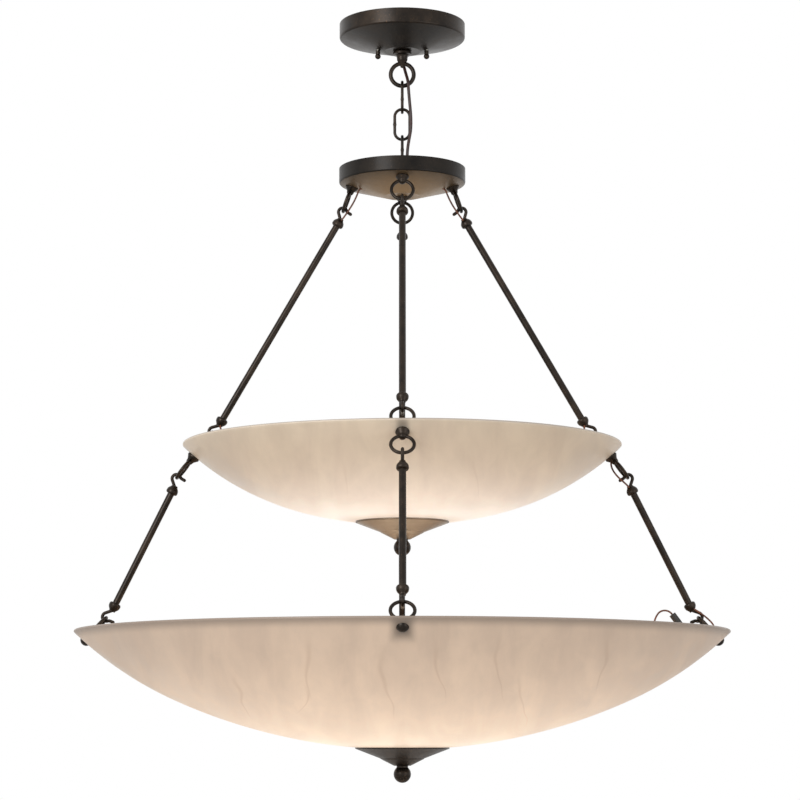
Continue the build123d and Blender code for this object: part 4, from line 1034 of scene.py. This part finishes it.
lower_folds = (
    (-215, 14, -935, 56, 6),
    (-112, -8, -890, 78, 8),
    (-118, -24, -950, 36, 5),
    (-22, 10, -905, 88, 7),
    (40, 13, -895, 76, 5),
    (117, 12, -890, 82, 5),
    (148, 20, -940, 62, 4),
    (256, 4, -885, 72, 8),
)
upper_glass = bowl_glass(
    "upper_cream_glass",
    lamp_sets["upper"],
    upper_shape,
    upper_hole,
    upper_tones,
    upper_painted_glow,
    upper_folds,
    band=3.0,
    painted_shadow=upper_painted_shadow,
)
lower_glass = bowl_glass(
    "lower_cream_glass",
    lamp_sets["lower"],
    lower_shape,
    lower_hole,
    lower_tones,
    lower_painted_glow,
    lower_folds,
    band=15.0,
    painted_shadow=lower_painted_shadow,
)
upper_bowl.data.materials.append(upper_glass)
lower_bowl.data.materials.append(lower_glass)
print("folds in the glass:", len(upper_folds), "and", len(lower_folds), "on each half")

# %% [markdown]
# ## Frosted bulbs, plastics, rubber, enamel and zinc
#
# The lit bulbs are frosted white, a little warmer towards the neck. The rest of the finishes are
# plain ones that still carry their own grain: moulded phenolic with a faint sheen, ribbed rubber,
# brushed-on enamel, and zinc with its patchy spangle.

# %% Other finishes
def bulb_finish():
    """Lit frosted glass: bright by its globe and dimmer by its neck, by the distance from the axis."""
    material, tree, shader, place = start_finish("frosted_bulb")
    frost = noise(tree, place, 1100.0, detail=2.0)
    globe = fade(tree, from_axis(tree, place), 0.052, 0.085)
    connect(
        tree,
        shader,
        Base_Color=mixed(tree, globe, rgb(222, 214, 200), rgb(246, 240, 230)),
        Roughness=fade(tree, frost, 0.3, 0.7, 0.42, 0.55),
        Emission_Color=mixed(tree, globe, (0.45, 0.38, 0.3, 1.0), (1.0, 0.91, 0.78, 1.0)),
        Emission_Strength=2.2,
        Normal=put(tree, "Bump", {"Strength": 0.06, "Distance": 0.0002, "Height": frost}),
    )
    return material


def plain_finish(name, first, second, rough, scale, grain, depth):
    """Two tones by noise, a roughness that follows them and a bump of fine grain."""
    material, tree, shader, place = start_finish(name)
    patina = use_group(tree, rubbed_patina, {"Vector": place, "Grain": grain, "Depth": depth})
    dust = use_group(tree, settled_dust, {"Vector": place, "Amount": 0.12})
    tone = fade(tree, noise(tree, place, scale, detail=4.0), 0.35, 0.65)
    colour = mixed(tree, tone, first, second)
    connect(
        tree,
        shader,
        Base_Color=mixed(tree, dust["Mask"], colour, rgb(165, 155, 140)),
        Roughness=calc(tree, "ADD", fade(tree, tone, 0, 1, rough, rough + 0.1), dust["Mask"]),
        Metallic=0.0,
        Normal=patina["Normal"],
    )
    return material


def zinc_finish():
    """Zinc plate: flat crystals of slightly different grey and roughness, from Voronoi cells."""
    material, tree, shader, place = start_finish("zinc_plate")
    cells = put(tree, "TexVoronoi", {"Vector": place, "Scale": 260.0}, out=1)
    spangle = put(tree, "SeparateColor", (cells,), out=0)
    fine = noise(tree, place, 900.0, detail=2.0)
    connect(
        tree,
        shader,
        Base_Color=mixed(tree, spangle, rgb(176, 172, 160), rgb(205, 203, 194)),
        Roughness=fade(tree, spangle, 0, 1, 0.28, 0.42),
        Metallic=1.0,
        Normal=put(tree, "Bump", {"Strength": 0.1, "Distance": 0.0002, "Height": fine}),
    )
    return material


# Two tones, then the roughness, the lumps of tone per metre, the grains per metre and the bump's depth.
phenolic = (rgb(34, 31, 28), rgb(46, 42, 38), 0.38, 60.0, 1400.0, 0.10)
rubber = (rgb(48, 46, 43), rgb(60, 57, 53), 0.62, 120.0, 700.0, 0.30)
supply_jacket = (rgb(34, 13, 8), rgb(52, 22, 14), 0.42, 90.0, 900.0, 0.08)
lead_jacket = (rgb(74, 38, 20), rgb(108, 60, 34), 0.38, 120.0, 900.0, 0.08)
enamel = (rgb(226, 221, 208), rgb(236, 232, 222), 0.30, 40.0, 700.0, 0.12)
finishes = {
    "bronze": bronze,
    "champagne": champagne,
    "zinc_steel": zinc_finish(),
    "bulb_glass": bulb_finish(),
    "socket_plastic": plain_finish("black_phenolic", *phenolic),
    "gasket_rubber": plain_finish("gasket_rubber", *rubber),
    "cord_jacket": plain_finish("supply_jacket", *supply_jacket),
    "lead_jacket": plain_finish("lead_jacket", *lead_jacket),
    "white_enamel": plain_finish("white_enamel", *enamel),
}
print(len(finishes), "finishes besides the glass")

# %% [markdown]
# ## Dressing every piece
#
# The record says which finish each CAD node wears, and each new piece names its own slot. One pass
# gives them all their material. The bowls already have theirs, and the hub's pan wears its own bronze.

# %% Give out the finishes
node_slots = {row["node"]: row["material_slot"] for row in frame["record"]["subparts"]}
dressed = 0
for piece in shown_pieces():
    if piece in (upper_bowl, lower_bowl):
        continue
    slot = piece.get("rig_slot") or node_slots[piece["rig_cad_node"]]
    finish = hub_bronze if piece.get("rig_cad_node") == "hub_pan" else finishes[slot]
    piece.data.materials.clear()
    piece.data.materials.append(finish)
    dressed += 1
print(dressed, "pieces dressed besides the bowls")

# %% [markdown]
# ## Floor, room and lamps
#
# The pendant hangs in a plain white room. The world is white for the camera and for mirrored rays,
# and a calm grey for the light itself, so that colours render about as they are written. The floor
# is pale and lies below the light, out of the camera's frame, where it keeps the shadow and throws
# a little light up under the bowls.

# %% Floor
floor_height = -1300.0
floor_reach = 2600.0
corners = np.array([(-1, -1), (1, -1), (1, 1), (-1, 1)]) * floor_reach
floor_mesh = bpy.data.meshes.new("studio_floor")
floor_mesh.from_pydata(np.column_stack([corners, np.full(4, floor_height)]) * MM, [], [(0, 1, 2, 3)])
floor = bpy.data.objects.new("studio_floor", floor_mesh)
bpy.context.scene.collection.objects.link(floor)
floor_paint, tree, shader, place = start_finish("floor_paint")
connect(
    tree,
    shader,
    Base_Color=mixed(tree, noise(tree, place, 3.0), rgb(232, 231, 229), rgb(238, 237, 235)),
    Roughness=fade(tree, noise(tree, place, 40.0), 0.3, 0.7, 0.75, 0.85),
)
floor_mesh.materials.append(floor_paint)

# %% World
room_level = 0.62
room_grey = (room_level, room_level, room_level, 1.0)
white = (1.0, 1.0, 1.0, 1.0)
world = bpy.data.worlds.new("white_room")
bpy.context.scene.world = world
world.use_nodes = True
tree = world.node_tree
background = tree.nodes["Background"]
rays = tree.nodes.new("ShaderNodeLightPath").outputs
mirrored = calc(tree, "MAXIMUM", rays["Is Glossy Ray"], rays["Is Transmission Ray"])
seen = calc(tree, "MAXIMUM", rays["Is Camera Ray"], mirrored)
tree.links.new(mixed(tree, seen, room_grey, white), background.inputs["Color"])


# %% Soft boxes
def soft_box(name, place, aim, size, watts):
    """A white square area lamp at a place in metres, facing a point."""
    lamp = bpy.data.lights.new(name, "AREA")
    lamp.shape, lamp.size, lamp.energy = "SQUARE", size, watts
    box = bpy.data.objects.new(name, lamp)
    bpy.context.scene.collection.objects.link(box)
    place, aim = np.array(place), np.array(aim)
    away = place - aim
    turn = math.atan2(away[0], -away[1])
    lift = math.atan2(away[2], float(np.hypot(away[0], away[1])))
    box.location = place
    box.rotation_euler = (math.pi / 2 - lift, 0, turn)
    return box


light_middle = (0, 0, -0.7)
soft_box("key_box", place=(-1.6, -2.4, 0.2), aim=light_middle, size=1.4, watts=46)
soft_box("fill_box", place=(2.0, -1.8, -0.6), aim=light_middle, size=1.6, watts=13)
print("room level", room_level, "and two soft boxes")
